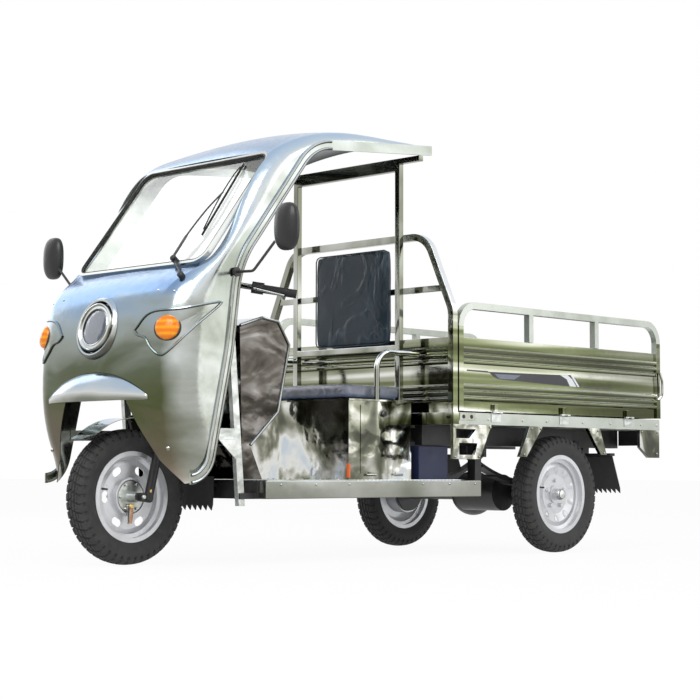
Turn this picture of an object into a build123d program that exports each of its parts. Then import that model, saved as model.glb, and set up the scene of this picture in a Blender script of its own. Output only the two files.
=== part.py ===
from build123d import *
import os
from math import cos, degrees, radians, sin, sqrt, atan2

# Electric cargo tricycle with a polished sheet-steel cab, a drop-side bed and a single front wheel.
# All sizes are millimetres. +X is forward, +Y is the vehicle's left, +Z is up.
# Places are measured from the ground below the front axle; the export moves the origin
# to the ground below the middle of the whole vehicle.

# Wheels and tyres
tyre_radius = 247.5
tyre_half_width = 50.0
bead_radius = 153.0
bead_seat_radius = 152.4
rim_flange_radius = 166.0
rim_half_width = 34.0
rim_wall = 3.0
rim_well_radius = 138.0
rim_well_half = 16.0
wheelbase = 1957.0
rear_half_track = 451.5
bearing_gap = 0.3
hub_radius = 34.0
drum_radius = 92.0
drum_width = 46.0

# Front fork and steering
rake = 14.0
steer_foot_x = -53.0
fork_lead = 12.0
fork_leg_y = 80.0
fork_leg_radius = 17.0
yoke_low = 395.0
yoke_thick = 22.0
stem_radius = 14.0
stem_length = 760.0
head_tube_radius = 25.0
head_tube_start = 425.0
head_tube_length = stem_length - head_tube_start - 145.0
head_gap = 0.5
neck_radius = 22.0
spindle_radius = 7.0
fender_radius = 286.0
fender_sheet = 2.0
fender_half_width = 56.0
bar_radius = 11.0
grip_radius = 16.0
grip_length = 120.0

# Cab shell
cab_half_width = 420.0
shell_wall = 3.0
flange_width = 38.0
flange_proud = 4.0
screen_foot = (-44.3, 1086.3)
screen_head = (-380.6, 1518.5)
screen_foot_half = 366.0
screen_head_half = 362.0
screen_corner = 50.0
glass_thick = 4.0
seal_gap = 9.0
seal_lap = 8.0
foot_front = 55.0
flap_x = -295.3
seat_fit = 0.3
roof_back = -1205.0
headlight_z = 857.0
headlight_radius = 92.0
indicator_radius = 42.0
indicator_y = 330.5
indicator_z = 843.0

# Floor, sills and seat box
sill_y = 340.0
sill_width = 40.0
sill_low = 240.0
sill_high = 306.0
sill_front = -345.0
sill_back = -wheelbase + 397.0
floor_sheet = 4.0
panel_sheet = 2.0
seat_front = -815.0
seat_back = -1172.0
seat_half = 340.0
seat_top = 617.0
cushion_thick = 68.0
post_x = -1150.0
post_y = 295.0
post_size = 25.0
post_top = 1584.0

# Cargo bed
bed_front = -1238.0
bed_back = -2624.0
bed_half = 536.5
bed_floor_low = 530.0
bed_floor_high = 577.0
gate_gap = 6.0
panel_top = 877.0
hoop_top = 1020.0
tube = 28.0
hinge_reach = 8.0
knuckle_radius = 5.5
pin_radius = 2.5
pin_gap = 0.3
hinge_places = (-1466.0, -1916.0, -2380.0)
stake_places = (-1700.0, -2155.0)
arch_x = -1219.0
arch_tube = 28.0
arch_top = 1290.0
arch_half = 521.5
rib_depth = 7.0

# Chassis
rail_y = 300.0
rail_width = 40.0
rail_low = 450.0
rail_high = bed_floor_low
axle_tube_radius = 30.0
spring_width = 50.0
leaf_thick = 7.0
leaf_count = 4

os.makedirs("parts", exist_ok=True)
nodes = {}


def block(x0, x1, y0, y1, z0, z1):
    """Box between two corners."""
    centre = Pos((x0 + x1) / 2, (y0 + y1) / 2, (z0 + z1) / 2)
    return centre * Box(abs(x1 - x0), abs(y1 - y0), abs(z1 - z0))


def mirrored(shape):
    """The same piece on the vehicle's right side."""
    return mirror(shape, about=Plane.XZ)


def side_plate(points, y0, y1):
    """XZ outline drawn out from y0 to y1."""
    face = make_face(Polyline(*[(x, y0, z) for x, z in points], close=True))
    return extrude(face, amount=y1 - y0, dir=(0, 1, 0))


def cross_plate(points, x0, x1):
    """YZ outline drawn out from x0 to x1."""
    face = make_face(Polyline(*[(x0, y, z) for y, z in points], close=True))
    return extrude(face, amount=x1 - x0, dir=(1, 0, 0))


def round_bar(start, end, radius):
    """Cylinder from one point to another."""
    along = Vector(*end) - Vector(*start)
    plane = Plane(origin=start, z_dir=along.normalized())
    return extrude(plane * Circle(radius), amount=along.length)


def bent_bar(points, bend, section, across=(0, 1, 0)):
    """Bar with round bends, its section set square to the first run."""
    path = FilletPolyline(*points, radius=bend)
    plane = Plane(origin=path @ 0, x_dir=across, z_dir=path % 0)
    return sweep(plane * section, path=path)


def ring_y(outer, inner, y0, y1, x, z):
    """Ring, or disc where inner is zero, about an axle along Y."""
    plane = Plane(origin=(x, y0, z), x_dir=(1, 0, 0), z_dir=(0, 1, 0))
    face = Circle(outer)
    if inner:
        face -= Circle(inner)
    return extrude(plane * face, amount=y1 - y0)


def turned(profile, x, y, z):
    """Closed profile of (across, radius) points turned about an axle along Y."""
    face = make_face(Polyline(*[(0, across, radius) for across, radius in profile], close=True))
    return Pos(x, y, z) * revolve(face, axis=Axis.Y)


def add(name, *shapes):
    """Keep the solids of one node."""
    solids = []
    for shape in shapes:
        solids.extend(shape.solids())
    nodes[name] = Compound(children=solids)


def add_pair(name, *shapes):
    """Keep pieces of the left side together with their mirror images."""
    add(name, *shapes, *[mirrored(shape) for shape in shapes])


def add_handed(name, *shapes):
    """Keep a left node and a right node."""
    add(name + "_left", *shapes)
    add(name + "_right", *[mirrored(shape) for shape in shapes])


# Tyre: open casing whose beads stand against the rim flanges
def tyre(x, y):
    outside = [
        (rim_half_width, bead_radius),
        (rim_half_width, rim_flange_radius + 2.0),
        (tyre_half_width - 1.0, 198.0),
        (tyre_half_width - 1.0, 216.0),
        (tyre_half_width - 9.0, 239.0),
        (tyre_half_width - 26.0, 246.0),
    ]
    inside = [
        (tyre_half_width - 20.0, 230.0),
        (tyre_half_width - 10.0, 206.0),
        (rim_half_width - 9.0, 174.0),
        (rim_half_width - 12.0, bead_radius),
    ]
    profile = outside + [(0.0, tyre_radius)]
    profile += [(-across, radius) for across, radius in reversed(outside)]
    profile += [(-across, radius) for across, radius in reversed(inside)]
    profile += inside
    return turned(profile, x, y, tyre_radius)


# Rim: rolled band with a drop centre and a lip at each edge
def rim_band():
    half = [
        (rim_half_width + rim_wall, rim_flange_radius),
        (rim_half_width, rim_flange_radius),
        (rim_half_width, bead_seat_radius),
        (rim_well_half, bead_seat_radius),
        (rim_well_half - 4.0, rim_well_radius),
    ]
    under = [
        (rim_well_half - 2.0, rim_well_radius - rim_wall),
        (rim_well_half + 2.0, bead_seat_radius - rim_wall),
        (rim_half_width + rim_wall, bead_seat_radius - rim_wall),
    ]
    profile = half + [(-across, radius) for across, radius in reversed(half)]
    profile += [(-across, radius) for across, radius in reversed(under)] + under
    return turned(profile, 0, 0, 0)


well_inside = rim_well_radius - rim_wall


# Front wheel: pressed disc with six oval windows round a drum hub
def front_rim():
    disc = turned(
        [(4.0, well_inside + 1.0), (12.0, 116.0), (12.0, 60.0), (8.0, 60.0), (8.0, 116.0), (-4.0, well_inside + 1.0)],
        0, 0, 0,
    )
    hub = ring_y(70.0, spindle_radius + bearing_gap, -44.0, 30.0, 0, 0)
    chamber = ring_y(62.0, spindle_radius + bearing_gap, 8.0, 30.0, 0, 0)
    neck = ring_y(70.0, 28.0, -44.0, -20.0, 0, 0)
    wheel = rim_band() + disc + (hub - chamber - neck)
    for index in range(6):
        window = Rot(0, 60.0 * index + 30.0, 0) * Pos(0, 0, 104.0) * Rot(90, 0, 0) * extrude(
            SlotCenterToCenter(16.0, 28.0), amount=30.0, both=True
        )
        wheel -= window
    return Pos(0, 0, tyre_radius) * wheel


# Rear wheel: dished disc with ten shallow flutes, five nuts and a hub with a castle nut
def rear_rim():
    disc = turned(
        [
            (6.0, well_inside + 1.0), (14.0, 118.0), (4.0, 84.0), (4.0, 38.0),
            (-1.0, 38.0), (-1.0, 84.0), (8.0, 118.0), (-6.0, well_inside + 1.0),
        ],
        0, 0, 0,
    )
    hub = ring_y(hub_radius + 5.0, 15.0 + bearing_gap, -12.0, 10.0, 0, 0)
    nose = ring_y(24.0, 15.0 + bearing_gap, 10.0, 30.0, 0, 0)
    drum = ring_y(drum_radius, drum_radius - 6.0, -12.0 - drum_width, -7.0, 0, 0)
    web = ring_y(drum_radius, 15.0 + bearing_gap, -12.0, -1.0, 0, 0)
    wheel = rim_band() + disc + hub + nose + drum + web
    for index in range(5):
        nut = Rot(0, 72.0 * index, 0) * Pos(0, 4.0, 58.0) * Rot(-90, 0, 0) * extrude(
            RegularPolygon(9.0, 6), amount=11.0
        )
        wheel += nut
    return Pos(-wheelbase, rear_half_track, tyre_radius) * wheel


add("front_tyre", tyre(0, 0))
add("front_rim", front_rim())
add_handed("rear_tyre", tyre(-wheelbase, rear_half_track))
add_handed("rear_rim", rear_rim())

# Steering line: from the foot beside the spindle up and back at the rake angle
lean_x = -sin(radians(rake))
lean_z = cos(radians(rake))


def steer_point(along, ahead=0.0, y=0.0):
    """Point on the steering line, moved square to it by ahead and sideways by y."""
    x = steer_foot_x + lean_x * along + lean_z * ahead
    z = tyre_radius + lean_z * along - lean_x * ahead
    return (x, y, z)


def steer_bar(along0, along1, radius, ahead=0.0, y=0.0):
    """Round bar parallel to the steering line."""
    return round_bar(steer_point(along0, ahead, y), steer_point(along1, ahead, y), radius)


def steer_slab(along0, along1, half_width, ahead0, ahead1):
    """Slab square to the steering line."""
    corners = [(along0, ahead0), (along1, ahead0), (along1, ahead1), (along0, ahead1)]
    points = [(steer_point(a, b)[0], steer_point(a, b)[2]) for a, b in corners]
    return side_plate(points, -half_width, half_width)


# Fork: two legs with axle lugs, lower and upper yokes and the steering stem
def fork():
    leg = steer_bar(-18.0, yoke_low, fork_leg_radius, fork_lead, fork_leg_y)
    foot_x, _, foot_z = steer_point(0.0, fork_lead)
    lug = hull_plate((0.0, tyre_radius, 16.0), (foot_x, foot_z - 6.0, 18.0), fork_leg_y - 5.0, fork_leg_y + 5.0)
    side = leg + lug
    yoke = steer_slab(yoke_low, yoke_low + yoke_thick, fork_leg_y + 20.0, -20.0, fork_lead + 22.0)
    stem = steer_bar(yoke_low + yoke_thick, stem_length, stem_radius)
    return side + mirrored(side) + yoke + stem


def hull_plate(first, second, y0, y1):
    """Plate whose outline wraps two circles given as x, z, radius."""
    x0, z0, r0 = first
    x1, z1, r1 = second
    run = Vector(x1 - x0, 0, z1 - z0)
    square = Vector(-run.Z, 0, run.X).normalized()
    points = []
    for sign, (x, z, r) in ((1, first), (1, second), (-1, second), (-1, first)):
        points.append((x + sign * square.X * r * 0.98, z + sign * square.Z * r * 0.98))
    return side_plate(points, y0, y1) + ring_y(r0, 0, y0, y1, x0, z0) + ring_y(r1, 0, y0, y1, x1, z1)


spindle_end = fork_leg_y + 22.0
spindle = ring_y(spindle_radius, 0, -spindle_end, spindle_end, 0, tyre_radius)
spindle_nut = Pos(0, fork_leg_y + 5.0, tyre_radius) * Rot(-90, 0, 0) * extrude(RegularPolygon(13.0, 6), amount=11.0)
add("front_fork", fork() + spindle + spindle_nut + mirrored(spindle_nut))

# Coil spring round the upper part of each leg, between a seat and the yoke
spring_low = 300.0
spring_cup = steer_bar(spring_low - 8.0, spring_low, 30.0, fork_lead, fork_leg_y)
spring_cup -= steer_bar(spring_low - 9.0, spring_low + 1.0, fork_leg_radius, fork_lead, fork_leg_y)
spring_sleeve = steer_bar(spring_low, yoke_low, 27.5, fork_lead, fork_leg_y)
spring_sleeve -= steer_bar(spring_low - 1.0, yoke_low + 1.0, fork_leg_radius + 3.5, fork_lead, fork_leg_y)
add_pair("fork_springs", spring_cup, spring_sleeve)

# Brake back plate inside the front hub, with its cable lever
brake_plate = ring_y(58.0, spindle_radius, 22.0, 28.0, 0, tyre_radius)
brake_plate += ring_y(20.0, spindle_radius, 28.0, fork_leg_y - 5.0, 0, tyre_radius)
brake_lever = hull_plate((12.0, tyre_radius - 34.0, 9.0), (14.0, tyre_radius - 92.0, 6.0), 34.0, 39.0)
brake_pivot = ring_y(6.0, 0, 28.0, 44.0, 12.0, tyre_radius - 34.0)
add("front_brake", brake_plate + brake_pivot + brake_lever)

# Front mudguard: a thin blade over the tyre, held to the legs by two stays
def arc_blade(radius, sheet, start, end, half_width):
    """Sheet bent about the front axle between two angles above the forward level."""
    plane = Plane(origin=(0, -half_width, tyre_radius), x_dir=(1, 0, 0), z_dir=(0, 1, 0))
    big = 2.0 * radius
    wedge_points = [(0, tyre_radius)]
    steps = 4
    for index in range(steps + 1):
        angle = radians(start + (end - start) * index / steps)
        wedge_points.append((big * cos(angle), tyre_radius + big * sin(angle)))
    wedge = side_plate(wedge_points, -half_width, half_width)
    ring = extrude(plane * (Circle(radius + sheet) - Circle(radius)), amount=2.0 * half_width)
    return ring & wedge


fender = arc_blade(fender_radius, fender_sheet, 50.0, 152.0, fender_half_width)
tip_x = fender_radius * cos(radians(50.0))
tip_z = tyre_radius + fender_radius * sin(radians(50.0))
fender_tip = side_plate(
    [(tip_x - 3.0, tip_z + 1.6), (tip_x + 34.0, tip_z - 14.0), (tip_x + 35.0, tip_z - 12.2), (tip_x - 2.0, tip_z + 4.0)],
    -fender_half_width, fender_half_width,
)
stay_low = steer_point(215.0, fork_lead)
fender_stay = side_plate(
    [
        (stay_low[0] - 10.0, stay_low[2]), (stay_low[0] + 12.0, stay_low[2]),
        (-60.0, tyre_radius + 279.0), (-88.0, tyre_radius + 272.5),
    ],
    fender_half_width, fork_leg_y - 14.0,
) - steer_bar(-18.0, yoke_low, fork_leg_radius, fork_lead, fork_leg_y)
add("front_fender", fender + fender_tip)
add_pair("fender_stays", fender_stay)

# Handlebar: clamp on the stem, risers and a bar swept back to each grip
bar_root = steer_point(stem_length - 20.0)
bar_points = [
    (bar_root[0], 0.0, bar_root[2]),
    (bar_root[0] - 8.0, 70.0, bar_root[2] + 4.0),
    (-300.0, 195.0, 1042.0),
    (-480.0, 388.0, 1000.0),
]
bar_half = bent_bar(bar_points, 35.0, Circle(bar_radius), across=(0, 0, 1))
bar_clamp = steer_bar(stem_length - 36.0, stem_length + 12.0, 24.0)
add("handlebar", bar_half + mirrored(bar_half) + bar_clamp - steer_bar(stem_length - 60.0, stem_length, stem_radius))

grip_end = Vector(*bar_points[3])
grip_dir = (grip_end - Vector(*bar_points[2])).normalized()


def on_grip(back):
    """Point on the grip's line, back from the bar's end."""
    spot = grip_end - grip_dir * back
    return (spot.X, spot.Y, spot.Z)


grip = round_bar(on_grip(grip_length), on_grip(-4.0), grip_radius)
grip -= round_bar(on_grip(grip_length + 1.0), on_grip(0.0), bar_radius)
switch_pod = round_bar(on_grip(grip_length + 44.0), on_grip(grip_length), grip_radius + 6.0)
switch_pod -= round_bar(on_grip(grip_length + 45.0), on_grip(grip_length - 1.0), bar_radius)
add_pair("handlebar_grips", grip)
add_pair("switch_pods", switch_pod)
lever_start = on_grip(grip_length + 30.0)
lever_points = [
    (lever_start[0] + 18.0, lever_start[1] + 10.0, lever_start[2] - 4.0),
    (lever_start[0] + 32.0, lever_start[1] + 32.0, lever_start[2] - 8.0),
    (grip_end.X + 52.0, grip_end.Y - 6.0, grip_end.Z - 10.0),
]
lever = bent_bar(lever_points, 12.0, Circle(5.0), across=(0, 0, 1))
add_pair("brake_levers", lever - switch_pod)

# Cab shell: one skin from the leg ends over the nose, screen and roof.
# Each station gives the skin's middle point x and z, the angle of the way along,
# the crown radius, the shoulder radius and the depth of the section.
glass_run = (screen_head[0] - screen_foot[0], screen_head[1] - screen_foot[1])
glass_height = sqrt(glass_run[0] ** 2 + glass_run[1] ** 2)
glass_up = (glass_run[0] / glass_height, glass_run[1] / glass_height)
glass_out = (glass_up[1], -glass_up[0])
glass_angle = degrees(atan2(glass_up[1], glass_up[0]))
skin_over_glass = 10.0


def over_glass(along):
    """Skin's middle point at a distance up the screen from its foot."""
    x = screen_foot[0] + glass_up[0] * along + glass_out[0] * skin_over_glass
    z = screen_foot[1] + glass_up[1] * along + glass_out[1] * skin_over_glass
    return (x, z)


stations = [
    ((60.0, 160.0), 74.0, 3000.0, 140.0, 335.0),
    ((88.0, 275.0), 76.0, 3000.0, 140.0, 335.0),
    ((126.0, 460.0), 81.0, 3000.0, 140.0, 335.0),
    ((156.0, 670.0), 90.0, 3000.0, 140.0, 335.0),
    ((142.0, 860.0), 100.0, 3000.0, 140.0, 325.0),
    ((97.0, 983.0), 110.0, 3500.0, 115.0, 300.0),
    ((34.0, 1040.0), 119.0, 5000.0, 85.0, 245.0),
    (over_glass(-26.0), glass_angle, 9000.0, 55.0, 200.0),
    (over_glass(glass_height / 2), glass_angle, 9000.0, 55.0, 165.0),
    (over_glass(glass_height + 26.0), glass_angle, 8000.0, 60.0, 160.0),
    ((-545.0, 1628.0), 153.0, 3500.0, 55.0, 135.0),
    ((-820.0, 1682.0), 174.0, 2200.0, 45.0, 135.0),
    ((-1020.0, 1688.0), 178.0, 2000.0, 40.0, 135.0),
    ((roof_back - 10.0, 1680.0), 180.0, 2000.0, 40.0, 135.0),
]
roof_split = 9


def section_face(point, angle, crown, shoulder, depth, inset):
    """Section of the skin: crown arc, two shoulder arcs and straight sides."""
    crown_r = crown - inset
    shoulder_r = shoulder - inset
    half = cab_half_width - inset
    reach = crown_r - shoulder_r
    side_start = crown_r - sqrt(reach ** 2 - (half - shoulder_r) ** 2)
    spread = atan2(half - shoulder_r, crown_r - side_start)
    join = (crown_r * sin(spread), inset + crown_r - crown_r * cos(spread))
    middle = (spread + radians(90.0)) / 2
    bulge = (
        half - shoulder_r + shoulder_r * sin(middle),
        inset + side_start - shoulder_r * cos(middle),
    )
    side_top = (half, inset + side_start)
    side_end = (half, depth + inset)
    lines = [
        Line((-side_end[0], side_end[1]), (-side_top[0], side_top[1])),
        ThreePointArc((-side_top[0], side_top[1]), (-bulge[0], bulge[1]), (-join[0], join[1])),
        ThreePointArc((-join[0], join[1]), (0, inset), join),
        ThreePointArc(join, bulge, side_top),
        Line(side_top, side_end),
        Line(side_end, (-side_end[0], side_end[1])),
    ]
    along = (cos(radians(angle)), 0, sin(radians(angle)))
    plane = Plane(origin=(point[0], 0, point[1]), x_dir=(0, 1, 0), z_dir=along)
    return plane * make_face(lines)


def skin_solid(inset):
    """Filled form of the cab, drawn in by inset."""
    faces = [section_face(*station, inset) for station in stations]
    return loft(faces)


# Side outline of the cab opening, from the leg's foot up to the roof's rear edge
contour = [(260.0, 295.0), (-37.0, 295.0), (-142.0, 772.0), (-181.0, 1080.0), (-550.0, 1550.0), (-1260.0, 1617.0)]
contour_bends = (120.0, 900.0, 350.0, 200.0)


def opening_face(y, grow=0.0):
    """Face of everything behind the side outline, grown towards the skin."""
    edge = FilletPolyline(*[(x, y, z) for x, z in contour], radius=list(contour_bends))
    back = Polyline((-1260.0, y, 1617.0), (-1260.0, y, 60.0), (260.0, y, 60.0), (260.0, y, 295.0))
    face = make_face([edge, back])
    if grow:
        face = offset(face, amount=grow, kind=Kind.INTERSECTION)
    return face


outer_form = skin_solid(0.0)
inner_form = skin_solid(shell_wall)
skin = outer_form - inner_form
skin -= block(roof_back - 50.0, roof_back, -500.0, 500.0, 1400.0, 1800.0)
opening = extrude(opening_face(-600.0), amount=1200.0, dir=(0, 1, 0))
skin -= opening

# Wheel arch in the nose, a bell that widens to the legs' feet
arch_points = [
    (-440.0, 200.0), (440.0, 200.0), (440.0, 294.0), (376.0, 294.0), (292.0, 380.0), (236.0, 482.0),
    (176.0, 592.0), (-176.0, 592.0), (-236.0, 482.0), (-292.0, 380.0), (-376.0, 294.0), (-440.0, 294.0),
]
skin -= cross_plate(arch_points, -60.0, 300.0)

# Screen opening, seal and glass
screen_plane = Plane(
    origin=(screen_foot[0], 0, screen_foot[1]), x_dir=(0, 1, 0), z_dir=(glass_out[0], 0, glass_out[1])
)
# Along the plane's y the screen runs downwards when its sign is negative
screen_sign = 1.0 if screen_plane.y_dir.Z > 0 else -1.0


def screen_face(grow):
    """Pane outline with rounded corners, grown all round."""
    top = screen_sign * (glass_height + grow)
    foot = -screen_sign * grow
    outline = make_face(
        Polyline(
            (-screen_foot_half - grow, foot), (screen_foot_half + grow, foot),
            (screen_head_half + grow, top), (-screen_head_half - grow, top), close=True,
        )
    )
    return fillet(outline.vertices(), screen_corner + grow)


def screen_slab(grow, low, high):
    """Pane outline as a slab between two heights over the glass plane."""
    return screen_plane * (Pos(0, 0, low) * extrude(screen_face(grow), amount=high - low))


skin -= screen_slab(seal_gap, -60.0, 60.0)
seal = screen_slab(seal_gap - 0.3, -glass_thick - 4.0, skin_over_glass + 1.0) - screen_slab(-seal_lap, -20.0, 30.0)
seal -= screen_slab(0.0, -glass_thick, 0.0)
add("windscreen_seal", seal)
add("windscreen_glass", screen_slab(-0.2, -glass_thick, 0.0))

# Headlight hole and indicator holes
skin -= Pos(100.0, 0, headlight_z) * Rot(0, 90, 0) * Cylinder(headlight_radius, 200.0)

# Fairing and roof part at the head of the screen
split_point = stations[roof_split][0]
split_plane = Plane(
    origin=(split_point[0], 0, split_point[1]), x_dir=(0, 1, 0),
    z_dir=(cos(radians(glass_angle)), 0, sin(radians(glass_angle))),
)
above = split_plane * (Pos(0, 0, 1000.0) * Box(3000.0, 3000.0, 2000.0))
fairing = skin - above
roof = skin & above

# Folded flange along the side outline, with two rolled beads
flange_face = opening_face(cab_half_width, flange_width) - opening_face(cab_half_width)
flange_face -= make_face(
    Polyline((-3000, cab_half_width, -500), (roof_back, cab_half_width, -500), (roof_back, cab_half_width, 3000),
             (-3000, cab_half_width, 3000), close=True)
)
flange = extrude(flange_face, amount=flange_proud, dir=(0, 1, 0))
flange -= block(-1300.0, 400.0, 300.0, 500.0, 0.0, contour[0][1])
flange -= block(foot_front, 600.0, 300.0, 500.0, 0.0, 600.0)
fairing_flange = flange - above
roof_flange = flange & above
add("front_fairing", fairing, fairing_flange, mirrored(fairing_flange))
add("roof_canopy", roof, roof_flange, mirrored(roof_flange))

# Headlight: bowl, bezel and lens on one axis
def ring_x(outer, inner, x0, x1, y, z):
    """Ring, or disc where inner is zero, about an axis along X."""
    plane = Plane(origin=(x0, y, z), x_dir=(0, 1, 0), z_dir=(1, 0, 0))
    face = Circle(outer)
    if inner:
        face -= Circle(inner)
    return extrude(plane * face, amount=x1 - x0)


lamp_face = 152.0
headlight_bowl = ring_x(headlight_radius - 6.0, 0, lamp_face - 95.0, lamp_face - 18.0, 0, headlight_z)
headlight_bezel = ring_x(headlight_radius - 0.5, headlight_radius - 22.0, lamp_face - 18.0, lamp_face, 0, headlight_z)
headlight_lens = ring_x(headlight_radius - 22.3, 0, lamp_face - 18.0, lamp_face - 6.0, 0, headlight_z)
add("headlight_bowl", headlight_bowl)
add("headlight_bezel", headlight_bezel)
add("headlight_lens", headlight_lens)

# Floor, sills and the sheet panels of the footwell
sill = block(sill_front, sill_back, sill_y, sill_y + sill_width, sill_low, sill_high)
add_pair("sill_rails", sill)
floor_panel = block(sill_front - 5.0, seat_front - 1.0, -sill_y - sill_width, sill_y + sill_width,
                    sill_high, sill_high + floor_sheet)
floor_back = block(seat_front - 1.0, sill_back + 40.0, -sill_y, sill_y, sill_high, sill_high + floor_sheet)
neck_top = steer_point(head_tube_start + 60.0)
neck_ends = ((neck_top[0] - 20.0, 0, neck_top[2]), (-372.0, 0, 290.0))
neck_room = round_bar(*neck_ends, neck_radius + 1.0)
add("floor_plate", floor_panel + floor_back - neck_room)

# Seat box: sheet shell with a ledge on top and a doorway in each side
box_low = sill_high + floor_sheet
box_form = block(seat_back, seat_front, -seat_half, seat_half, box_low, seat_top)
box_room = block(seat_back + panel_sheet, seat_front - panel_sheet, -seat_half + panel_sheet,
                 seat_half - panel_sheet, box_low - 1.0, seat_top - panel_sheet)
door_x0 = -1135.0
door_x1 = -890.0
door_z0 = box_low + 24.0
door_z1 = 590.0
doorway = block(door_x0, door_x1, -seat_half - 10.0, seat_half + 10.0, door_z0, door_z1)
ledge = block(seat_back, seat_front + 12.0, -seat_half - 14.0, seat_half + 14.0, seat_top, seat_top + 6.0)
door_hinge_z = door_z0 - 6.0
door_hinge_y = seat_half + 6.0
hinge_knuckle = 4.5
hinge_pin = 2.0
hinge_middles = [-1090.0, -935.0]
door_posts = None
for middle in hinge_middles:
    for side in (-1, 1):
        low = middle + side * 12.6
        high = middle + side * 26.0
        knuckle = Pos((low + high) / 2, door_hinge_y, door_hinge_z) * Rot(0, 90, 0) * Cylinder(hinge_knuckle, 13.4)
        knuckle += block(low, high, seat_half - 1.0, door_hinge_y - 1.0, door_hinge_z - 4.0, door_hinge_z)
        door_posts = knuckle if door_posts is None else door_posts + knuckle
    door_posts += Pos(middle, door_hinge_y, door_hinge_z) * Rot(0, 90, 0) * Cylinder(hinge_pin, 52.0)
add("seat_box", (box_form - box_room - doorway) + ledge + door_posts + mirrored(door_posts))

# Side doors of the seat box, hinged along the foot, with a lock barrel
door = block(door_x0 - 10.0, door_x1 + 10.0, seat_half + 0.5, seat_half + 2.5, door_z0, door_z1 + 10.0)
for middle in hinge_middles:
    door += block(middle - 12.0, middle + 12.0, seat_half + 2.0, door_hinge_y, door_hinge_z + 1.0, door_z0 + 6.0)
    door += Pos(middle, door_hinge_y, door_hinge_z) * Rot(0, 90, 0) * Cylinder(hinge_knuckle, 24.0)
    door -= Pos(middle, door_hinge_y, door_hinge_z) * Rot(0, 90, 0) * Cylinder(hinge_pin + 0.3, 30.0)
door_lock = ring_y(11.0, 0, seat_half + 2.5, seat_half + 12.0, -1008.0, 568.0)
add_handed("box_door", door + door_lock)

# Seat cushion and backrest
ledge_top = seat_top + 6.0
cushion = block(-1135.0, seat_front + 6.0, -330.0, 330.0, ledge_top + 0.3, ledge_top + cushion_thick)
add("seat_cushion", fillet(cushion.edges(), 14.0))
pad = block(arch_x + 10.3, arch_x + 52.0, -214.0, 214.0, 856.0, 1252.0)
add("backrest_pad", fillet(pad.edges(), 9.0))

# Armrest hoops rising from the seat ledge
armrest_y = seat_half + 7.0
armrest_points = [(-965.0, armrest_y, ledge_top), (-965.0, armrest_y, 812.0), (-1204.0, armrest_y, 812.0)]
armrest = bent_bar(armrest_points, 70.0, Circle(11.0))
add_pair("armrests", armrest)

# Roof posts with cross bars
post = block(post_x - post_size / 2, post_x + post_size / 2, post_y - post_size / 2, post_y + post_size / 2,
             ledge_top, post_top)
cross_top = block(post_x - post_size / 2, post_x + post_size / 2, -post_y + post_size / 2, post_y - post_size / 2,
                  post_top - 28.0, post_top)
cross_low = block(post_x - post_size / 2, post_x + post_size / 2, -post_y + post_size / 2, post_y - post_size / 2,
                  826.0, 850.0)
bow_half = cab_half_width - shell_wall - 5 * seat_fit
roof_bow = block(post_x - post_size / 2, post_x + post_size / 2, -bow_half, bow_half, post_top, post_top + 22.0)
add("roof_posts", post + mirrored(post) + cross_top + cross_low + roof_bow)

# Leg shield: folded sheet with side cheeks, open to the front and below
shield_points = [
    (-283.0, 877.0), (-393.0, 912.0), (-475.0, 902.0), (-533.0, 817.0), (-477.0, 563.0), (-337.0, 438.0),
    (-398.0, 312.0), (-300.0, 312.0),
]
shield_half = 300.0
shield_form = side_plate(shield_points, -shield_half, shield_half)
shield_inner = offset(make_face(Polyline(*[(x, 0, z) for x, z in shield_points], close=True)), amount=-panel_sheet)
shield_room = extrude(shield_inner, amount=shield_half - panel_sheet, dir=(0, 1, 0), both=True)
shield_mouth = side_plate([(-100.0, 300.0), (-100.0, 872.0), (-288.0, 872.0), (-306.0, 316.0), (-306.0, 300.0)],
                          -shield_half + panel_sheet, shield_half - panel_sheet)
shield = shield_form - shield_room - shield_mouth
shield -= steer_bar(stem_length - 300.0, stem_length + 100.0, 34.0)
add("leg_shield", shield - neck_room)

# Struts from the sills' front ends up beside the shield, and brackets out to the fairing
strut = side_plate([(-262.0, 215.0), (-292.0, 215.0), (-238.0, 830.0), (-208.0, 830.0)], 304.0, 324.0)
bracket = side_plate([(-57.0, 456.0), (-57.0, 496.0), (-236.0, 496.0), (-240.0, 456.0)], 324.0, 327.0)
bracket_end = block(-60.0, -57.0, 327.0, bow_half, 456.0, 496.0)
gusset = side_plate([(-160.0, 456.0), (-246.0, 456.0), (-250.0, 380.0)], 324.0, 326.0)
add_pair("shield_struts", strut + bracket + bracket_end + gusset)

# Head tube, down tube and floor cross members
head_tube = steer_bar(head_tube_start, head_tube_start + head_tube_length, head_tube_radius)
head_tube -= steer_bar(head_tube_start - 1.0, head_tube_start + head_tube_length + 1.0, stem_radius + head_gap)
neck = round_bar(*neck_ends, neck_radius) - steer_bar(
    head_tube_start, head_tube_start + head_tube_length, head_tube_radius - 3.0
)
front_cross = block(-340.0, -400.0, -sill_y, sill_y, sill_low, sill_high)
spine = block(-400.0, sill_back, -30.0, 30.0, sill_low, sill_high)
mid_cross = block(-800.0, -840.0, -sill_y, sill_y, sill_low + 6.0, sill_high)
back_cross = block(sill_back + 40.0, sill_back, -sill_y, sill_y, sill_low, sill_high)
strut_foot = block(-262.0, -340.0, 300.0, 330.0, 240.0, 262.0)
strut_foot += block(flap_x - 0.0, -340.0, 90.0, 110.0, 286.0, 296.0)
column = block(sill_back + 40.0, sill_back, sill_y, sill_y + sill_width, sill_high, bed_floor_low)
column += block(sill_back + 40.0, sill_back, rail_y, sill_y, rail_low, rail_high)
rail = block(-1260.0, bed_back + 20.0, rail_y - rail_width / 2, rail_y + rail_width / 2, rail_low, rail_high)
frame = head_tube + neck + front_cross + spine + mid_cross + back_cross
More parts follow.
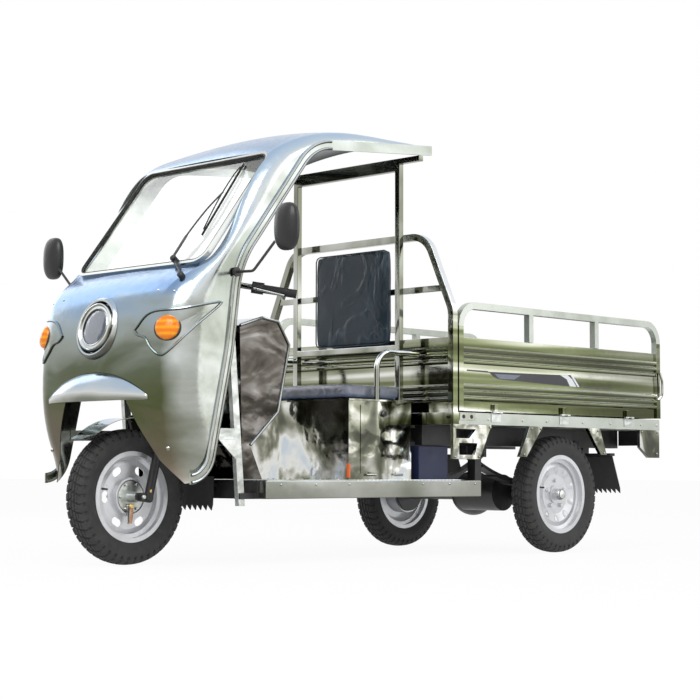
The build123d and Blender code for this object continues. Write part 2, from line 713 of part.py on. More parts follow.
for piece in (column, rail, strut_foot):
    frame += piece
    frame += mirrored(piece)
for x in (-1280.0, -1640.0, -2280.0, -2580.0):
    frame += block(x - 20.0, x + 20.0, -rail_y, rail_y, rail_low + 20.0, rail_high - 10.0)
add("chassis_frame", frame - strut - mirrored(strut))

# Bed floor: sheet, rims along each side and bearers across
floor_sheet_low = bed_floor_high - 8.0
bed_floor = block(bed_front, bed_back, -bed_half + 3.0, bed_half - 3.0, floor_sheet_low, floor_sheet_low + 3.0)
side_rim = block(bed_front, bed_back, bed_half - 3.0, bed_half, bed_floor_low, bed_floor_high)
back_rim_bar = block(bed_back, bed_back + 3.0, -bed_half + 3.0, bed_half - 3.0, bed_floor_low, bed_floor_high)
bed = bed_floor + side_rim + mirrored(side_rim) + back_rim_bar
for x in (-1300.0, -1560.0, -1820.0, -2090.0, -2360.0, -2590.0):
    bed += block(x - 20.0, x + 20.0, -bed_half + 3.0, bed_half - 3.0, bed_floor_low, floor_sheet_low)
add("bed_floor", bed)


# Hinge along X: leaves on the floor rim, a leaf on the gate, knuckles and a pin
hinge_y = bed_half + hinge_reach
hinge_z = bed_floor_high + gate_gap / 2
gate_low = bed_floor_high + gate_gap


def bar_x(x0, x1, y, z, radius):
    return round_bar((x0, y, z), (x1, y, z), radius)


def hinge_fixed(x):
    leaf = block(x - 30.0, x + 30.0, bed_half, bed_half + 3.0, bed_floor_low + 12.0, hinge_z - 3.0)
    parts = leaf
    for x0, x1 in ((x - 30.0, x - 11.0), (x + 11.0, x + 30.0)):
        parts += bar_x(x0, x1, hinge_y, hinge_z, knuckle_radius)
        parts += block(x0, x1, bed_half, hinge_y, hinge_z - knuckle_radius, hinge_z - 2.5)
    parts += bar_x(x - 30.0, x + 30.0, hinge_y, hinge_z, pin_radius)
    return parts


def hinge_moving(x):
    leaf = block(x - 10.0, x + 10.0, sheet_y, bed_half + 3.0, hinge_z + 3.0, gate_low + 30.0)
    knuckle = bar_x(x - 10.0, x + 10.0, hinge_y, hinge_z, knuckle_radius)
    knuckle += block(x - 10.0, x + 10.0, bed_half, hinge_y, hinge_z + 3.0, hinge_z + knuckle_radius)
    return leaf + knuckle - bar_x(x - 12.0, x + 12.0, hinge_y, hinge_z, pin_radius + pin_gap)


def at_tail(shape, y):
    """A hinge piece of the left rim turned to the rear rim at the given y."""
    return Pos(bed_back + bed_half, y, 0) * Rot(0, 0, 90) * shape


tail_hinge_places = (-330.0, 0.0, 330.0)
fixed_hinges = [hinge_fixed(x) for x in hinge_places]
tail_hinges = [at_tail(hinge_fixed(0.0), y) for y in tail_hinge_places]
add("gate_hinges", *fixed_hinges, *[mirrored(hinge) for hinge in fixed_hinges], *tail_hinges)


# Ribbed sheet: flat bands and raised ribs, given as (height share, proud) steps
def ribbed_profile(height):
    """Closed section of the pressed sheet, from its foot up."""
    steps = [(0.0, 0.0), (0.10, 0.0)]
    ribs = (0.14, 0.225, 0.31, 0.64, 0.725, 0.81)
    for start in ribs:
        steps += [(start, 0.0), (start + 0.015, 1.0), (start + 0.045, 1.0), (start + 0.06, 0.0)]
    steps += [(1.0, 0.0)]
    front = [(proud * rib_depth, share * height) for share, proud in steps]
    back = [(across - 2.0, z) for across, z in reversed(front)]
    return front + back


leg_front_x = bed_front - 2.0
leg_back_x = bed_back - 10.0
hoop_y = bed_half - tube / 2
sheet_y = bed_half - rib_depth - 2.0


def side_gate():
    path = [
        (leg_front_x - tube / 2, hoop_y, gate_low), (leg_front_x - tube / 2, hoop_y, hoop_top - tube / 2),
        (leg_back_x + tube / 2, hoop_y, hoop_top - tube / 2), (leg_back_x + tube / 2, hoop_y, gate_low),
    ]
    hoop = bent_bar(path, 85.0, Rectangle(tube, tube))
    face = make_face(
        Polyline(*[(leg_front_x - tube, sheet_y + across, gate_low + z)
                   for across, z in ribbed_profile(panel_top - gate_low)], close=True)
    )
    sheet = extrude(face, amount=leg_front_x - leg_back_x - 2 * tube, dir=(-1, 0, 0))
    cap = block(leg_front_x - tube, leg_back_x + tube, sheet_y - tube + 8.0, sheet_y - 2.0, panel_top - 26.0, panel_top)
    gate = hoop + sheet + cap
    for x in stake_places:
        gate += block(x - tube / 2, x + tube / 2, hoop_y - tube / 2, hoop_y + tube / 2, panel_top, hoop_top - tube)
        gate += block(x - tube / 2, x + tube / 2, hoop_y - tube / 2, sheet_y - 2.0, gate_low, panel_top)
    for x in hinge_places:
        gate += hinge_moving(x)
    return gate


add_handed("side_gate", side_gate())

# Tailgate: ribbed sheet in a frame, hinged along the floor's rear edge
tail_half = bed_half - tube - 8.0
tail_face = bed_back + rib_depth + 2.0
face = make_face(
    Polyline(*[(tail_face - across, -tail_half, gate_low + z)
               for across, z in ribbed_profile(panel_top - gate_low)], close=True)
)
tailgate = extrude(face, amount=2 * tail_half, dir=(0, 1, 0))
frame_low = tail_face + 2.0
frame_high = frame_low + 18.0
tailgate += block(frame_low, frame_high, -tail_half, tail_half, panel_top - 24.0, panel_top)
tailgate += block(frame_low, frame_high, -tail_half, tail_half, gate_low, gate_low + 24.0)
tail_post = block(frame_low, frame_high, tail_half - 24.0, tail_half, gate_low, panel_top)
tailgate += tail_post + mirrored(tail_post)
for y in tail_hinge_places:
    tailgate += at_tail(hinge_moving(0.0), y)
add("tailgate", tailgate)

# Headboard: arch tube, rails across and a ribbed panel
arch_path = [
    (arch_x, arch_half, bed_floor_high), (arch_x, arch_half, 985.0), (arch_x, 385.0, arch_top),
    (arch_x, -385.0, arch_top), (arch_x, -arch_half, 985.0), (arch_x, -arch_half, bed_floor_high),
]
arch = bent_bar(arch_path, 110.0, Rectangle(arch_tube, arch_tube), across=(1, 0, 0))
arch_rail = block(arch_x - 10.0, arch_x + 10.0, -470.0, 470.0, 1062.0, 1086.0)
arch_inner = arch_half - arch_tube / 2
board_face = make_face(
    Polyline(*[(arch_x - 8.0 + across, -arch_inner, bed_floor_high + z)
               for across, z in ribbed_profile(panel_top - bed_floor_high)], close=True)
)
board = extrude(board_face, amount=2 * arch_inner, dir=(0, 1, 0))
board_foot = block(arch_x - 19.0, arch_x + 14.0, -bed_half, bed_half, bed_floor_low, bed_floor_high)
add("bed_headboard", arch + arch_rail + board + board_foot)

# Under-bed brackets along each side
bracket_in = bed_half - 16.5
bracket_out = bed_half - 0.5
front_truss = side_plate([(-1205.0, bed_floor_low), (-1440.0, bed_floor_low), (-1366.0, 391.0), (-1205.0, 391.0)],
                         bracket_in, bracket_out)
front_truss -= side_plate([(-1222.0, 510.0), (-1342.0, 510.0), (-1300.0, 474.0), (-1222.0, 474.0)],
                          bracket_in - 1.0, bracket_out + 1.0)
front_truss -= side_plate([(-1240.0, 455.0), (-1352.0, 455.0), (-1336.0, 408.0), (-1240.0, 408.0)],
                          bracket_in - 1.0, bracket_out + 1.0)
strut_mid = side_plate([(-1687.0, bed_floor_low), (-1774.0, bed_floor_low), (-1666.0, 403.0), (-1620.0, 403.0)],
                       bracket_in, bracket_out)
strut_rear = side_plate([(-2086.0, bed_floor_low), (-2173.0, bed_floor_low), (-2222.0, 416.0), (-2180.0, 416.0)],
                        bracket_in, bracket_out)
corner = side_plate(
    [(-2472.0, bed_floor_low), (-2622.0, bed_floor_low), (-2622.0, 406.0), (-2540.0, 406.0), (-2472.0, 452.0)],
    bracket_in, bracket_out,
)
add_pair("bed_brackets", front_truss, strut_mid, strut_rear, corner)

# Rear axle with a motor and gear housing at its middle
axle = ring_y(axle_tube_radius, 0, -370.0, 370.0, -wheelbase, tyre_radius)
housing = Pos(-wheelbase, 0, tyre_radius) * Sphere(98.0)
motor = ring_y(78.0, 0, 40.0, 250.0, -wheelbase + 95.0, tyre_radius + 5.0)
stub = ring_y(15.0, 0, 370.0, rear_half_track + 32.0, -wheelbase, tyre_radius)
back_plate = ring_y(84.0, 0, 382.0, 388.0, -wheelbase, tyre_radius)
stub_nut = ring_y(20.0, 0, rear_half_track + 31.0, rear_half_track + 44.0, -wheelbase, tyre_radius)
saddle = block(-wheelbase - 30.0, -wheelbase + 30.0, rail_y - 25.0, rail_y + 25.0, tyre_radius, tyre_radius + axle_tube_radius)
axle_all = axle + housing + motor
for piece in (stub, back_plate, stub_nut, saddle):
    axle_all += piece
    axle_all += mirrored(piece)
add("rear_axle", axle_all)

# Leaf springs: stepped arcs clamped on the axle, with an eye at each end
eye_drop = 118.0
eye_span = 405.0
leaf_radius = (eye_span ** 2 + eye_drop ** 2) / (2 * eye_drop)
seat_z = tyre_radius + axle_tube_radius


def leaf_pack():
    centre_z = seat_z + leaf_count * leaf_thick + leaf_radius
    pack = None
    for index in range(leaf_count):
        outer = leaf_radius + (index + 1) * leaf_thick
        inner = leaf_radius + index * leaf_thick - (1.0 if index else 0.0)
        span = eye_span - 85.0 * index
        ring = ring_y(outer, inner, rail_y - spring_width / 2, rail_y + spring_width / 2, -wheelbase, centre_z)
        leaf = ring & block(-wheelbase - span, -wheelbase + span, rail_y - 40.0, rail_y + 40.0, seat_z - 5.0, centre_z - 100.0)
        pack = leaf if pack is None else pack + leaf
    return pack


spring = leaf_pack()
eye_z = seat_z + leaf_count * leaf_thick + eye_drop
hanger = block(-wheelbase + eye_span - 22.0, -wheelbase + eye_span + 22.0, rail_y - 20.0, rail_y + 20.0, eye_z - 12.0, rail_low)
shackle = block(-wheelbase - eye_span - 22.0, -wheelbase - eye_span + 22.0, rail_y - 20.0, rail_y + 20.0, eye_z - 12.0, rail_low)
add_pair("leaf_springs", spring + hanger + shackle)


# Mud flaps: a saw-toothed foot on a plain sheet
def flap(x_top, x_low, y0, y1, z_top, z_low, teeth, sheet):
    width = (y1 - y0) / teeth
    points = [(y0, z_top)]
    for index in range(teeth):
        points += [(y0 + width * index, z_low + 22.0), (y0 + width * (index + 0.8), z_low)]
    points += [(y1, z_low + 22.0), (y1, z_top)]
    length = sqrt((x_top - x_low) ** 2 + (z_top - z_low) ** 2)
    slope = degrees(atan2(x_top - x_low, z_top - z_low))
    flat = cross_plate([(y, (z - z_top) * length / (z_top - z_low)) for y, z in points], 0.0, sheet)
    return Pos(x_top, 0, z_top) * Rot(0, slope, 0) * flat


flap_top = -wheelbase - 329.0
flap_in = rear_half_track - 79.5
flap_out = rear_half_track + 68.5
rear_flap = flap(flap_top, flap_top - 64.0, flap_in, flap_out, 412.0, 250.0, 6, 4.0)
flap_hanger = block(flap_top + 16.0, flap_top - 16.0, rail_y + 20.0, flap_out, 412.0, 424.0)
flap_hanger += block(flap_top + 16.0, flap_top - 16.0, rail_y + 20.0, rail_y + 26.0, 424.0, rail_low + 30.0)
add_pair("rear_flaps", rear_flap + flap_hanger)
add("front_flap", flap(-296.0, -290.0, -150.0, 150.0, 322.0, 196.0, 10, 4.0))

# Battery blocks behind the seat box
cell_width = 158.0
battery = [
    block(-1233.0, -1410.0, y, y + cell_width, box_low, 445.0) for y in (-330.0, -165.0, 5.0, 170.0)
]
add("battery", *battery)

# Mirrors: shell on a thin stem from a foot on the flange
def mirror_set():
    foot = ring_y(17.0, 0, cab_half_width + flange_proud, cab_half_width + flange_proud + 9.0, -150.0, 1052.0)
    stem_points = [(-150.0, 431.0, 1052.0), (-146.0, 520.0, 1048.0), (-150.0, 655.0, 1168.0)]
    stem = bent_bar(stem_points, 30.0, Circle(5.0), across=(1, 0, 0))
    shell = block(-178.0, -142.0, 622.0, 737.0, 1118.0, 1288.0)
    shell = fillet(shell.edges().filter_by(Axis.X), 40.0)
    shell = fillet(shell.faces().sort_by(Axis.X)[-1].edges(), 14.0)
    return foot, stem, shell


mirror_foot, mirror_stem, mirror_shell = mirror_set()
add_pair("mirror_stems", mirror_foot + (mirror_stem - mirror_shell))
add_pair("mirror_shells", mirror_shell)


# Indicators: domes on short cups in the nose corners
dome = Pos(84.0, indicator_y, indicator_z) * Rot(0, 90, 0) * Cylinder(indicator_radius, 40.0)
add_pair("indicators", dome - outer_form)

boxes = [shape.bounding_box() for shape in nodes.values()]
x_low = min(box.min.X for box in boxes)
x_high = max(box.max.X for box in boxes)
shift = Pos(-(x_low + x_high) / 2, 0, 0)
print("origin shift", round(-(x_low + x_high) / 2, 3))
for name, shape in nodes.items():
    export_step(shift * shape, f"parts/{name}.step")
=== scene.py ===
from math import atan2, cos, pi, radians, sin, sqrt

import bmesh
import bpy
import numpy as np
from mathutils import Matrix, Vector
from mathutils.bvhtree import BVHTree


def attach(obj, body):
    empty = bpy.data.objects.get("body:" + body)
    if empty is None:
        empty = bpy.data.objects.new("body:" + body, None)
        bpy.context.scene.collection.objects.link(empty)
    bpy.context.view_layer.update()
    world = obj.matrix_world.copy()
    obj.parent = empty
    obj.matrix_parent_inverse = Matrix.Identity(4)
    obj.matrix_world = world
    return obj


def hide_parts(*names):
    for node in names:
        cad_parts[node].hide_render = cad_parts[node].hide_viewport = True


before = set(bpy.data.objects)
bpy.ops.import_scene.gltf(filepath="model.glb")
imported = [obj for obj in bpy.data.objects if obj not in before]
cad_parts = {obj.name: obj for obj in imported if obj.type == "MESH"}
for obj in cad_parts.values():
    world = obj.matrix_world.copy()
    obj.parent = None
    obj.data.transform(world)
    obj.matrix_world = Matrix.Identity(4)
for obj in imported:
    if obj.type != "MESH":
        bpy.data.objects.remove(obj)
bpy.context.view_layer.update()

# The front axle lies this far ahead of the frame's origin
AXLE = 1.195
WHEELBASE = 1.957
BACK_AXLE = AXLE - WHEELBASE
REAR_HALF_TRACK = 0.4515
WHEEL_Z = 0.2475
# The two indicators and the pressings round them lie this far from the middle plane
LAMP_Y = 0.33
OUT = (0, 1, 0)
SIDES = ((1, "left"), (-1, "right"))
scene = bpy.context.scene
CAMERA = Vector((4.0133 + AXLE, 5.0594, 0.3396))


# Materials
class Look:
    """A Principled material with short calls for its nodes."""

    def __init__(self, name, **sockets):
        self.mat = bpy.data.materials.new(name)
        self.mat.use_nodes = True
        self.tree = self.mat.node_tree
        self.shader = next(n for n in self.tree.nodes if n.type == "BSDF_PRINCIPLED")
        self.finish(**sockets)

    def set(self, node, key, value):
        socket = node.inputs[key]
        if isinstance(value, bpy.types.NodeSocket):
            self.tree.links.new(value, socket)
        elif hasattr(value, "__len__") and len(value) == 3 and socket.type == "RGBA":
            socket.default_value = (*value, 1.0)
        else:
            socket.default_value = value

    def add(self, kind, inputs=None, out=0, **settings):
        node = self.tree.nodes.new("ShaderNode" + kind)
        for key, value in settings.items():
            setattr(node, key, value)
        for key, value in (inputs or {}).items():
            self.set(node, key, value)
        return node.outputs[out]

    def place(self, scale=(1, 1, 1)):
        spot = self.add("TexCoord", out=3)
        return self.add("Mapping", {0: spot, "Scale": scale})

    def noise(self, scale, detail=4.0, stretch=(1, 1, 1), rough=0.5):
        return self.add(
            "TexNoise", {"Vector": self.place(stretch), "Scale": scale, "Detail": detail, "Roughness": rough},
        )

    def math(self, kind, a, b=0.0):
        return self.add("Math", {0: a, 1: b}, operation=kind)

    def ramp(self, value, stops):
        node = self.tree.nodes.new("ShaderNodeValToRGB")
        band = node.color_ramp
        while len(band.elements) < len(stops):
            band.elements.new(0.5)
        for element, (at, colour) in zip(band.elements, stops):
            element.position = at
            element.color = (*colour, 1.0)
        self.tree.links.new(value, node.inputs[0])
        return node.outputs[0]

    def span(self, value, low, high, to_low=0.0, to_high=1.0):
        return self.add("MapRange", {0: value, 1: low, 2: high, 3: to_low, 4: to_high})

    def mix(self, share, a, b, blend="MIX"):
        node = self.tree.nodes.new("ShaderNodeMix")
        node.data_type, node.blend_type = "RGBA", blend
        self.set(node, 0, share)
        self.set(node, 6, a)
        self.set(node, 7, b)
        return node.outputs[2]

    def bump(self, height, strength, distance, normal=None):
        inputs = {"Height": height, "Strength": strength, "Distance": distance}
        if normal is not None:
            inputs["Normal"] = normal
        return self.add("Bump", inputs)

    def finish(self, **sockets):
        for key, value in sockets.items():
            self.set(self.shader, key.replace("_", " "), value)
        return self.mat


def steel(
    name, stops, rough, dent=0.5, dent_scale=3.0, wander=0.16, stretch=(1, 1, 1), grain=0.0,
    drift=(1, 1, 2.2), swirl=1.1, bands=None,
):
    """Bright sheet steel. Its colour is a painted reflection: the tint follows the way the dented surface faces, as
    sky, trees and yard show in it.
    """
    look = Look(name, Metallic=1.0)
    dents = look.noise(dent_scale, 3.0, stretch)
    ripple = look.noise(dent_scale * 6.0, 2.0, stretch)
    normal = look.bump(dents, dent, 0.03)
    normal = look.bump(ripple, dent * 0.35, 0.004, normal)
    # Painted reflection: the tint is read from the bumped normal's up and side facing, shifted at random by the cloud
    facing = look.add("SeparateXYZ", {0: normal}, out=2)
    side = look.add("SeparateXYZ", {0: normal}, out=0)
    level = look.span(facing, -1.0, 1.0)
    level = look.math("ADD", level, look.math("MULTIPLY", side, 0.05))
    cloud = look.add(
        "TexNoise", {"Vector": look.place(drift), "Scale": dent_scale * 1.3, "Detail": 2.5, "Distortion": swirl},
    )
    level = look.math("ADD", level, look.span(cloud, 0.3, 0.7, -wander, wander))
    tint = look.ramp(level, stops)
    if bands:
        # Painted reflection by height, multiplied into the tint
        height = look.add("SeparateXYZ", {0: look.place()}, out=2)
        height = look.math("ADD", height, look.span(cloud, 0.3, 0.7, -0.07, 0.07))
        shade = look.ramp(look.span(height, 0.2, 1.7), bands)
        # Painted highlight: the outer sides of the skin are lightened towards white
        flank = look.math("ABSOLUTE", look.add("SeparateXYZ", {0: look.place()}, out=1))
        flank = look.math("ADD", flank, look.span(cloud, 0.3, 0.7, -0.02, 0.02))
        shade = look.mix(look.span(flank, 0.345, 0.4, 0.0, 0.85), shade, (1.15, 1.18, 1.2))
        tint = look.mix(1.0, tint, shade, "MULTIPLY")
    smear = look.noise(38.0, 6.0)
    scratch = look.noise(260.0, 2.0, (1, 0.05, 1))
    gloss = look.math("ADD", look.span(smear, 0.35, 0.75, *rough), look.span(scratch, 0.5, 0.8, 0.0, 0.05 + grain))
    fine = look.bump(scratch, 0.06 + grain, 0.0006, normal)
    return look.finish(Base_Color=tint, Roughness=gloss, Normal=fine)


# Painted reflection colours for the steels, from down-facing (0) through level (0.5) to up-facing (1): ground, trees,
# sky
SHEET = [
    (0.0, (0.03, 0.03, 0.025)), (0.3, (0.06, 0.06, 0.05)), (0.4, (0.12, 0.125, 0.095)), (0.47, (0.23, 0.235, 0.18)),
    (0.52, (0.42, 0.42, 0.37)), (0.6, (0.72, 0.72, 0.68)), (0.74, (0.52, 0.58, 0.64)), (1.0, (0.4, 0.52, 0.7)),
]
SATIN = [
    (0.0, (0.05, 0.05, 0.045)), (0.34, (0.12, 0.12, 0.1)), (0.43, (0.2, 0.21, 0.17)), (0.49, (0.32, 0.33, 0.29)),
    (0.55, (0.46, 0.47, 0.44)), (0.63, (0.62, 0.64, 0.63)), (0.76, (0.46, 0.53, 0.6)), (1.0, (0.3, 0.42, 0.58)),
]
CHROME = [
    (0.0, (0.1, 0.1, 0.08)), (0.22, (0.34, 0.33, 0.29)), (0.4, (0.16, 0.16, 0.12)), (0.49, (0.14, 0.15, 0.11)),
    (0.55, (0.38, 0.39, 0.34)), (0.68, (0.82, 0.84, 0.85)), (0.86, (0.66, 0.72, 0.78)), (1.0, (0.5, 0.62, 0.76)),
]
ZINC = [
    (0.0, (0.26, 0.27, 0.26)), (0.4, (0.44, 0.46, 0.43)), (0.52, (0.58, 0.6, 0.57)), (0.7, (0.74, 0.76, 0.75)),
    (1.0, (0.7, 0.76, 0.8)),
]
GATE = [
    (0.0, (0.03, 0.03, 0.02)), (0.32, (0.04, 0.045, 0.025)), (0.43, (0.075, 0.085, 0.038)),
    (0.5, (0.16, 0.18, 0.095)),
    (0.555, (0.36, 0.37, 0.29)), (0.66, (0.84, 0.85, 0.81)), (1.0, (0.8, 0.83, 0.85)),
]

polished = steel(
    "polished_sheet", SHEET, rough=(0.05, 0.13), dent=0.55, dent_scale=3.4, wander=0.17, drift=(0.9, 0.9, 0.55),
    swirl=2.6,
)
panels = steel(
    "mirror_panels", GATE, rough=(0.06, 0.15), dent=0.22, dent_scale=1.6, wander=0.13, stretch=(0.5, 0.5, 2.0),
    drift=(0.22, 0.22, 7.0), swirl=0.4,
)
# Painted reflection on the skin by height: the ground in its legs, the trees in its middle and the sky above
SKIN_BANDS = [
    (0.0, (0.8, 0.7, 0.62)), (0.12, (0.84, 0.69, 0.6)), (0.18, (0.66, 0.57, 0.44)), (0.25, (0.24, 0.27, 0.13)),
    (0.34, (0.22, 0.25, 0.17)), (0.41, (0.44, 0.47, 0.43)), (0.48, (0.58, 0.66, 0.72)), (0.53, (0.46, 0.62, 0.86)),
    (0.6, (0.56, 0.66, 0.78)), (0.8, (0.84, 0.9, 0.96)), (1.0, (0.72, 0.84, 1.0)),
]
satin = steel("satin_skin", SATIN, rough=(0.15, 0.27), dent=0.22, dent_scale=1.6, wander=0.06, bands=SKIN_BANDS)
sill_sheet = steel(
    "sill_sheet", SATIN, rough=(0.12, 0.22), dent=0.1, dent_scale=2.0, wander=0.1, drift=(0.5, 0.5, 0.8),
)
plain_satin = steel("satin_trim", SATIN, rough=(0.14, 0.24), dent=0.15, dent_scale=3.0, wander=0.05)
# Painted reflection colours of the leg shield, from down-facing to up-facing
SHIELD = [
    (0.0, (0.015, 0.014, 0.012)), (0.4, (0.035, 0.032, 0.026)), (0.5, (0.075, 0.068, 0.058)),
    (0.58, (0.17, 0.16, 0.15)),
    (0.7, (0.46, 0.46, 0.46)), (1.0, (0.5, 0.54, 0.58)),
]
shield_sheet = steel("shield_sheet", SHIELD, rough=(0.05, 0.14), dent=0.6, dent_scale=3.4, wander=0.1, swirl=2.0)
chrome = steel(
    "chrome_tube", CHROME, rough=(0.05, 0.14), dent=0.06, dent_scale=3.0, wander=0.05, drift=(1.0, 1.0, 0.4),
)
zinc = steel("galvanised", ZINC, rough=(0.28, 0.46), dent=0.3, dent_scale=8.0, wander=0.12, grain=0.03)


def painted(name, colour, dirt, rough, speck=0.25, metal=0.0, scale=16.0, coat=0.0):
    look = Look(name, Metallic=metal, Coat_Weight=coat, Coat_Roughness=0.12)
    dust = look.noise(scale, 8.0, rough=0.62)
    share = look.span(dust, 0.45, 0.72, 0.0, speck)
    fine = look.noise(scale * 14.0, 3.0)
    gloss = look.span(dust, 0.3, 0.8, rough, rough + 0.22)
    normal = look.bump(fine, 0.16, 0.0008)
    return look.finish(Base_Color=look.mix(share, colour, dirt), Roughness=gloss, Normal=normal)


black_paint = painted("black_frame", (0.02, 0.02, 0.021), (0.09, 0.08, 0.07), 0.34, 0.4)
black_plastic = painted("black_plastic", (0.016, 0.016, 0.018), (0.05, 0.05, 0.05), 0.38, 0.3)
mirror_black = painted("mirror_black", (0.006, 0.006, 0.007), (0.018, 0.018, 0.018), 0.3, 0.2, coat=0.1)
rubber = painted("seal_rubber", (0.014, 0.014, 0.014), (0.06, 0.06, 0.055), 0.62, 0.35)
rail_paint = painted("rail_steel", (0.5, 0.53, 0.48), (0.34, 0.37, 0.31), 0.28, 0.75, metal=0.75, scale=5.0)
wheel_paint = painted(
    "wheel_silver", (0.66, 0.67, 0.69), (0.42, 0.42, 0.41), 0.26, 0.5, metal=0.55, scale=9.0, coat=0.3,
)
battery_case = painted("battery_case", (0.018, 0.025, 0.075), (0.05, 0.06, 0.1), 0.4, 0.4)
gold = painted("gold_plated", (0.82, 0.56, 0.2), (0.45, 0.28, 0.1), 0.24, 0.5, metal=1.0, scale=60.0)
copper = painted("copper_rust", (0.52, 0.29, 0.18), (0.2, 0.1, 0.06), 0.42, 0.8, metal=0.8, scale=40.0)
white_metal = painted("stripe_white", (0.8, 0.82, 0.84), (0.66, 0.7, 0.74), 0.22, 0.3)
stripe_grey = painted("stripe_grey", (0.045, 0.05, 0.058), (0.09, 0.1, 0.11), 0.26, 0.4)
stripe_blue = painted("stripe_blue", (0.16, 0.18, 0.24), (0.24, 0.26, 0.32), 0.24, 0.4)
stripe_dark = painted("stripe_dark", (0.012, 0.013, 0.02), (0.03, 0.03, 0.04), 0.22, 0.4)
orange_film = painted("orange_film", (0.85, 0.16, 0.03), (0.6, 0.12, 0.03), 0.35, 0.5)
red_lens = painted("red_lens", (0.5, 0.012, 0.01), (0.3, 0.008, 0.008), 0.12, 0.3, coat=1.0)
white_plate = painted("bare_plate", (0.74, 0.75, 0.74), (0.6, 0.6, 0.58), 0.35, 0.4)


def tyre_look():
    look = Look("tyre_rubber")
    dust = look.noise(22.0, 8.0, rough=0.65)
    grain = look.noise(420.0, 3.0)
    colour = look.ramp(
        dust, [(0.3, (0.022, 0.022, 0.023)), (0.6, (0.046, 0.045, 0.044)), (0.85, (0.1, 0.096, 0.088))],
    )
    normal = look.bump(grain, 0.3, 0.0012)
    return look.finish(Base_Color=colour, Roughness=look.span(dust, 0.2, 0.8, 0.62, 0.92), Normal=normal)


tyre_rubber = tyre_look()


def film_cover(name, base, light, crease, coat, fold_height):
    """Woven cover under a clear plastic film that creases and shines, with a painted glint along the fold ridges."""
    look = Look(name, Coat_Weight=coat, Coat_Roughness=0.08, Specular_IOR_Level=0.3)
    weave = look.add(
        "TexWave", {"Vector": look.place(), "Scale": 210.0, "Distortion": 1.5}, wave_type="BANDS",
        bands_direction="DIAGONAL",
    )
    cloud = look.noise(7.0, 7.0, (1.0, 1.0, 0.55), 0.62)
    fold = look.add(
        "TexNoise", {"Vector": look.place((1.0, 1.0, 0.6)), "Scale": crease, "Detail": 2.5, "Distortion": 1.9},
    )
    ridge = look.math("ABSOLUTE", look.math("SUBTRACT", fold, 0.5))
    sharp = look.span(ridge, 0.0, 0.05, 1.0, 0.0)
    # Painted glint: the colour is lightened towards pale blue along the sharp fold ridges where the cloud is high
    glint = look.math("MULTIPLY", sharp, look.span(cloud, 0.52, 0.66))
    colour = look.mix(look.span(cloud, 0.35, 0.75), base, light)
    colour = look.mix(look.math("MULTIPLY", glint, 0.22), colour, (0.3, 0.38, 0.46))
    under = look.bump(weave, 0.1, 0.0006)
    film = look.bump(sharp, fold_height, 0.006)
    return look.finish(
        Base_Color=colour, Roughness=look.span(cloud, 0.3, 0.7, 0.34, 0.55), Normal=under, Coat_Normal=film
    )


navy = film_cover("navy_film", (0.006, 0.018, 0.03), (0.018, 0.04, 0.058), 4.0, 0.32, 0.6)
blue_grey = film_cover("seat_film", (0.085, 0.095, 0.125), (0.28, 0.3, 0.36), 12.0, 0.7, 0.85)


def glass_look():
    """Clear pane with a faint haze."""
    look = Look("clear_glass", Transmission_Weight=1.0, IOR=1.45)
    colour = (0.93, 0.96, 0.95)
    haze = look.noise(9.0, 5.0)
    tint = look.mix(look.span(haze, 0.4, 0.8, 0.0, 0.3), colour, tuple(0.92 * c for c in colour))
    return look.finish(
        Base_Color=tint, Roughness=look.span(haze, 0.3, 0.8, 0.0, 0.03), Normal=look.bump(haze, 0.02, 0.002),
    )


clear_glass = glass_look()


def lens_look():
    """Dark blue, partly clear lens with faint upright flutes."""
    look = Look("lamp_glass", Transmission_Weight=0.2, IOR=1.45, Coat_Weight=0.2)
    haze = look.noise(9.0, 5.0)
    flutes = look.add("TexWave", {"Vector": look.place(), "Scale": 16.0, "Distortion": 0.0}, bands_direction="Y")
    tint = look.mix(look.span(haze, 0.4, 0.7), (0.06, 0.082, 0.125), (0.095, 0.122, 0.17))
    return look.finish(
        Base_Color=tint, Roughness=look.span(haze, 0.3, 0.8, 0.1, 0.2), Normal=look.bump(flutes, 0.1, 0.002),
    )


lamp_glass = lens_look()


def amber_look():
    look = Look("amber_lens", Specular_IOR_Level=0.3, Coat_Weight=0.25, Coat_Roughness=0.04)
    spot = look.place()
    rings = look.add("TexWave", {"Vector": spot, "Scale": 14.0, "Distortion": 0.0}, bands_direction="Z")
    cells = look.add("TexVoronoi", {"Vector": spot, "Scale": 90.0})
    colour = look.ramp(rings, [(0.0, (0.88, 0.2, 0.001)), (0.6, (0.95, 0.28, 0.002)), (1.0, (1.0, 0.4, 0.004))])
    normal = look.bump(cells, 0.25, 0.001, look.bump(rings, 0.15, 0.002))
    return look.finish(Base_Color=colour, Roughness=look.span(cells, 0.0, 0.6, 0.08, 0.2), Normal=normal)


amber = amber_look()


def tread_plate():
    look = Look("floor_sheet", Metallic=1.0)
    spot = look.place()
    diamonds = look.add("TexVoronoi", {"Vector": spot, "Scale": 46.0, "Randomness": 0.0})
    height = look.span(diamonds, 0.25, 0.45, 1.0, 0.0)
    cloud = look.noise(4.0, 6.0)
    # Painted reflection: olive tree and sky-blue tints spread at random by the cloud
    colour = look.ramp(cloud, [(0.3, (0.3, 0.36, 0.22)), (0.5, (0.62, 0.66, 0.62)), (0.7, (0.62, 0.72, 0.84))])
    return look.finish(
        Base_Color=colour, Roughness=look.span(cloud, 0.3, 0.7, 0.14, 0.3), Normal=look.bump(height, 0.35, 0.002),
    )


floor_sheet = tread_plate()


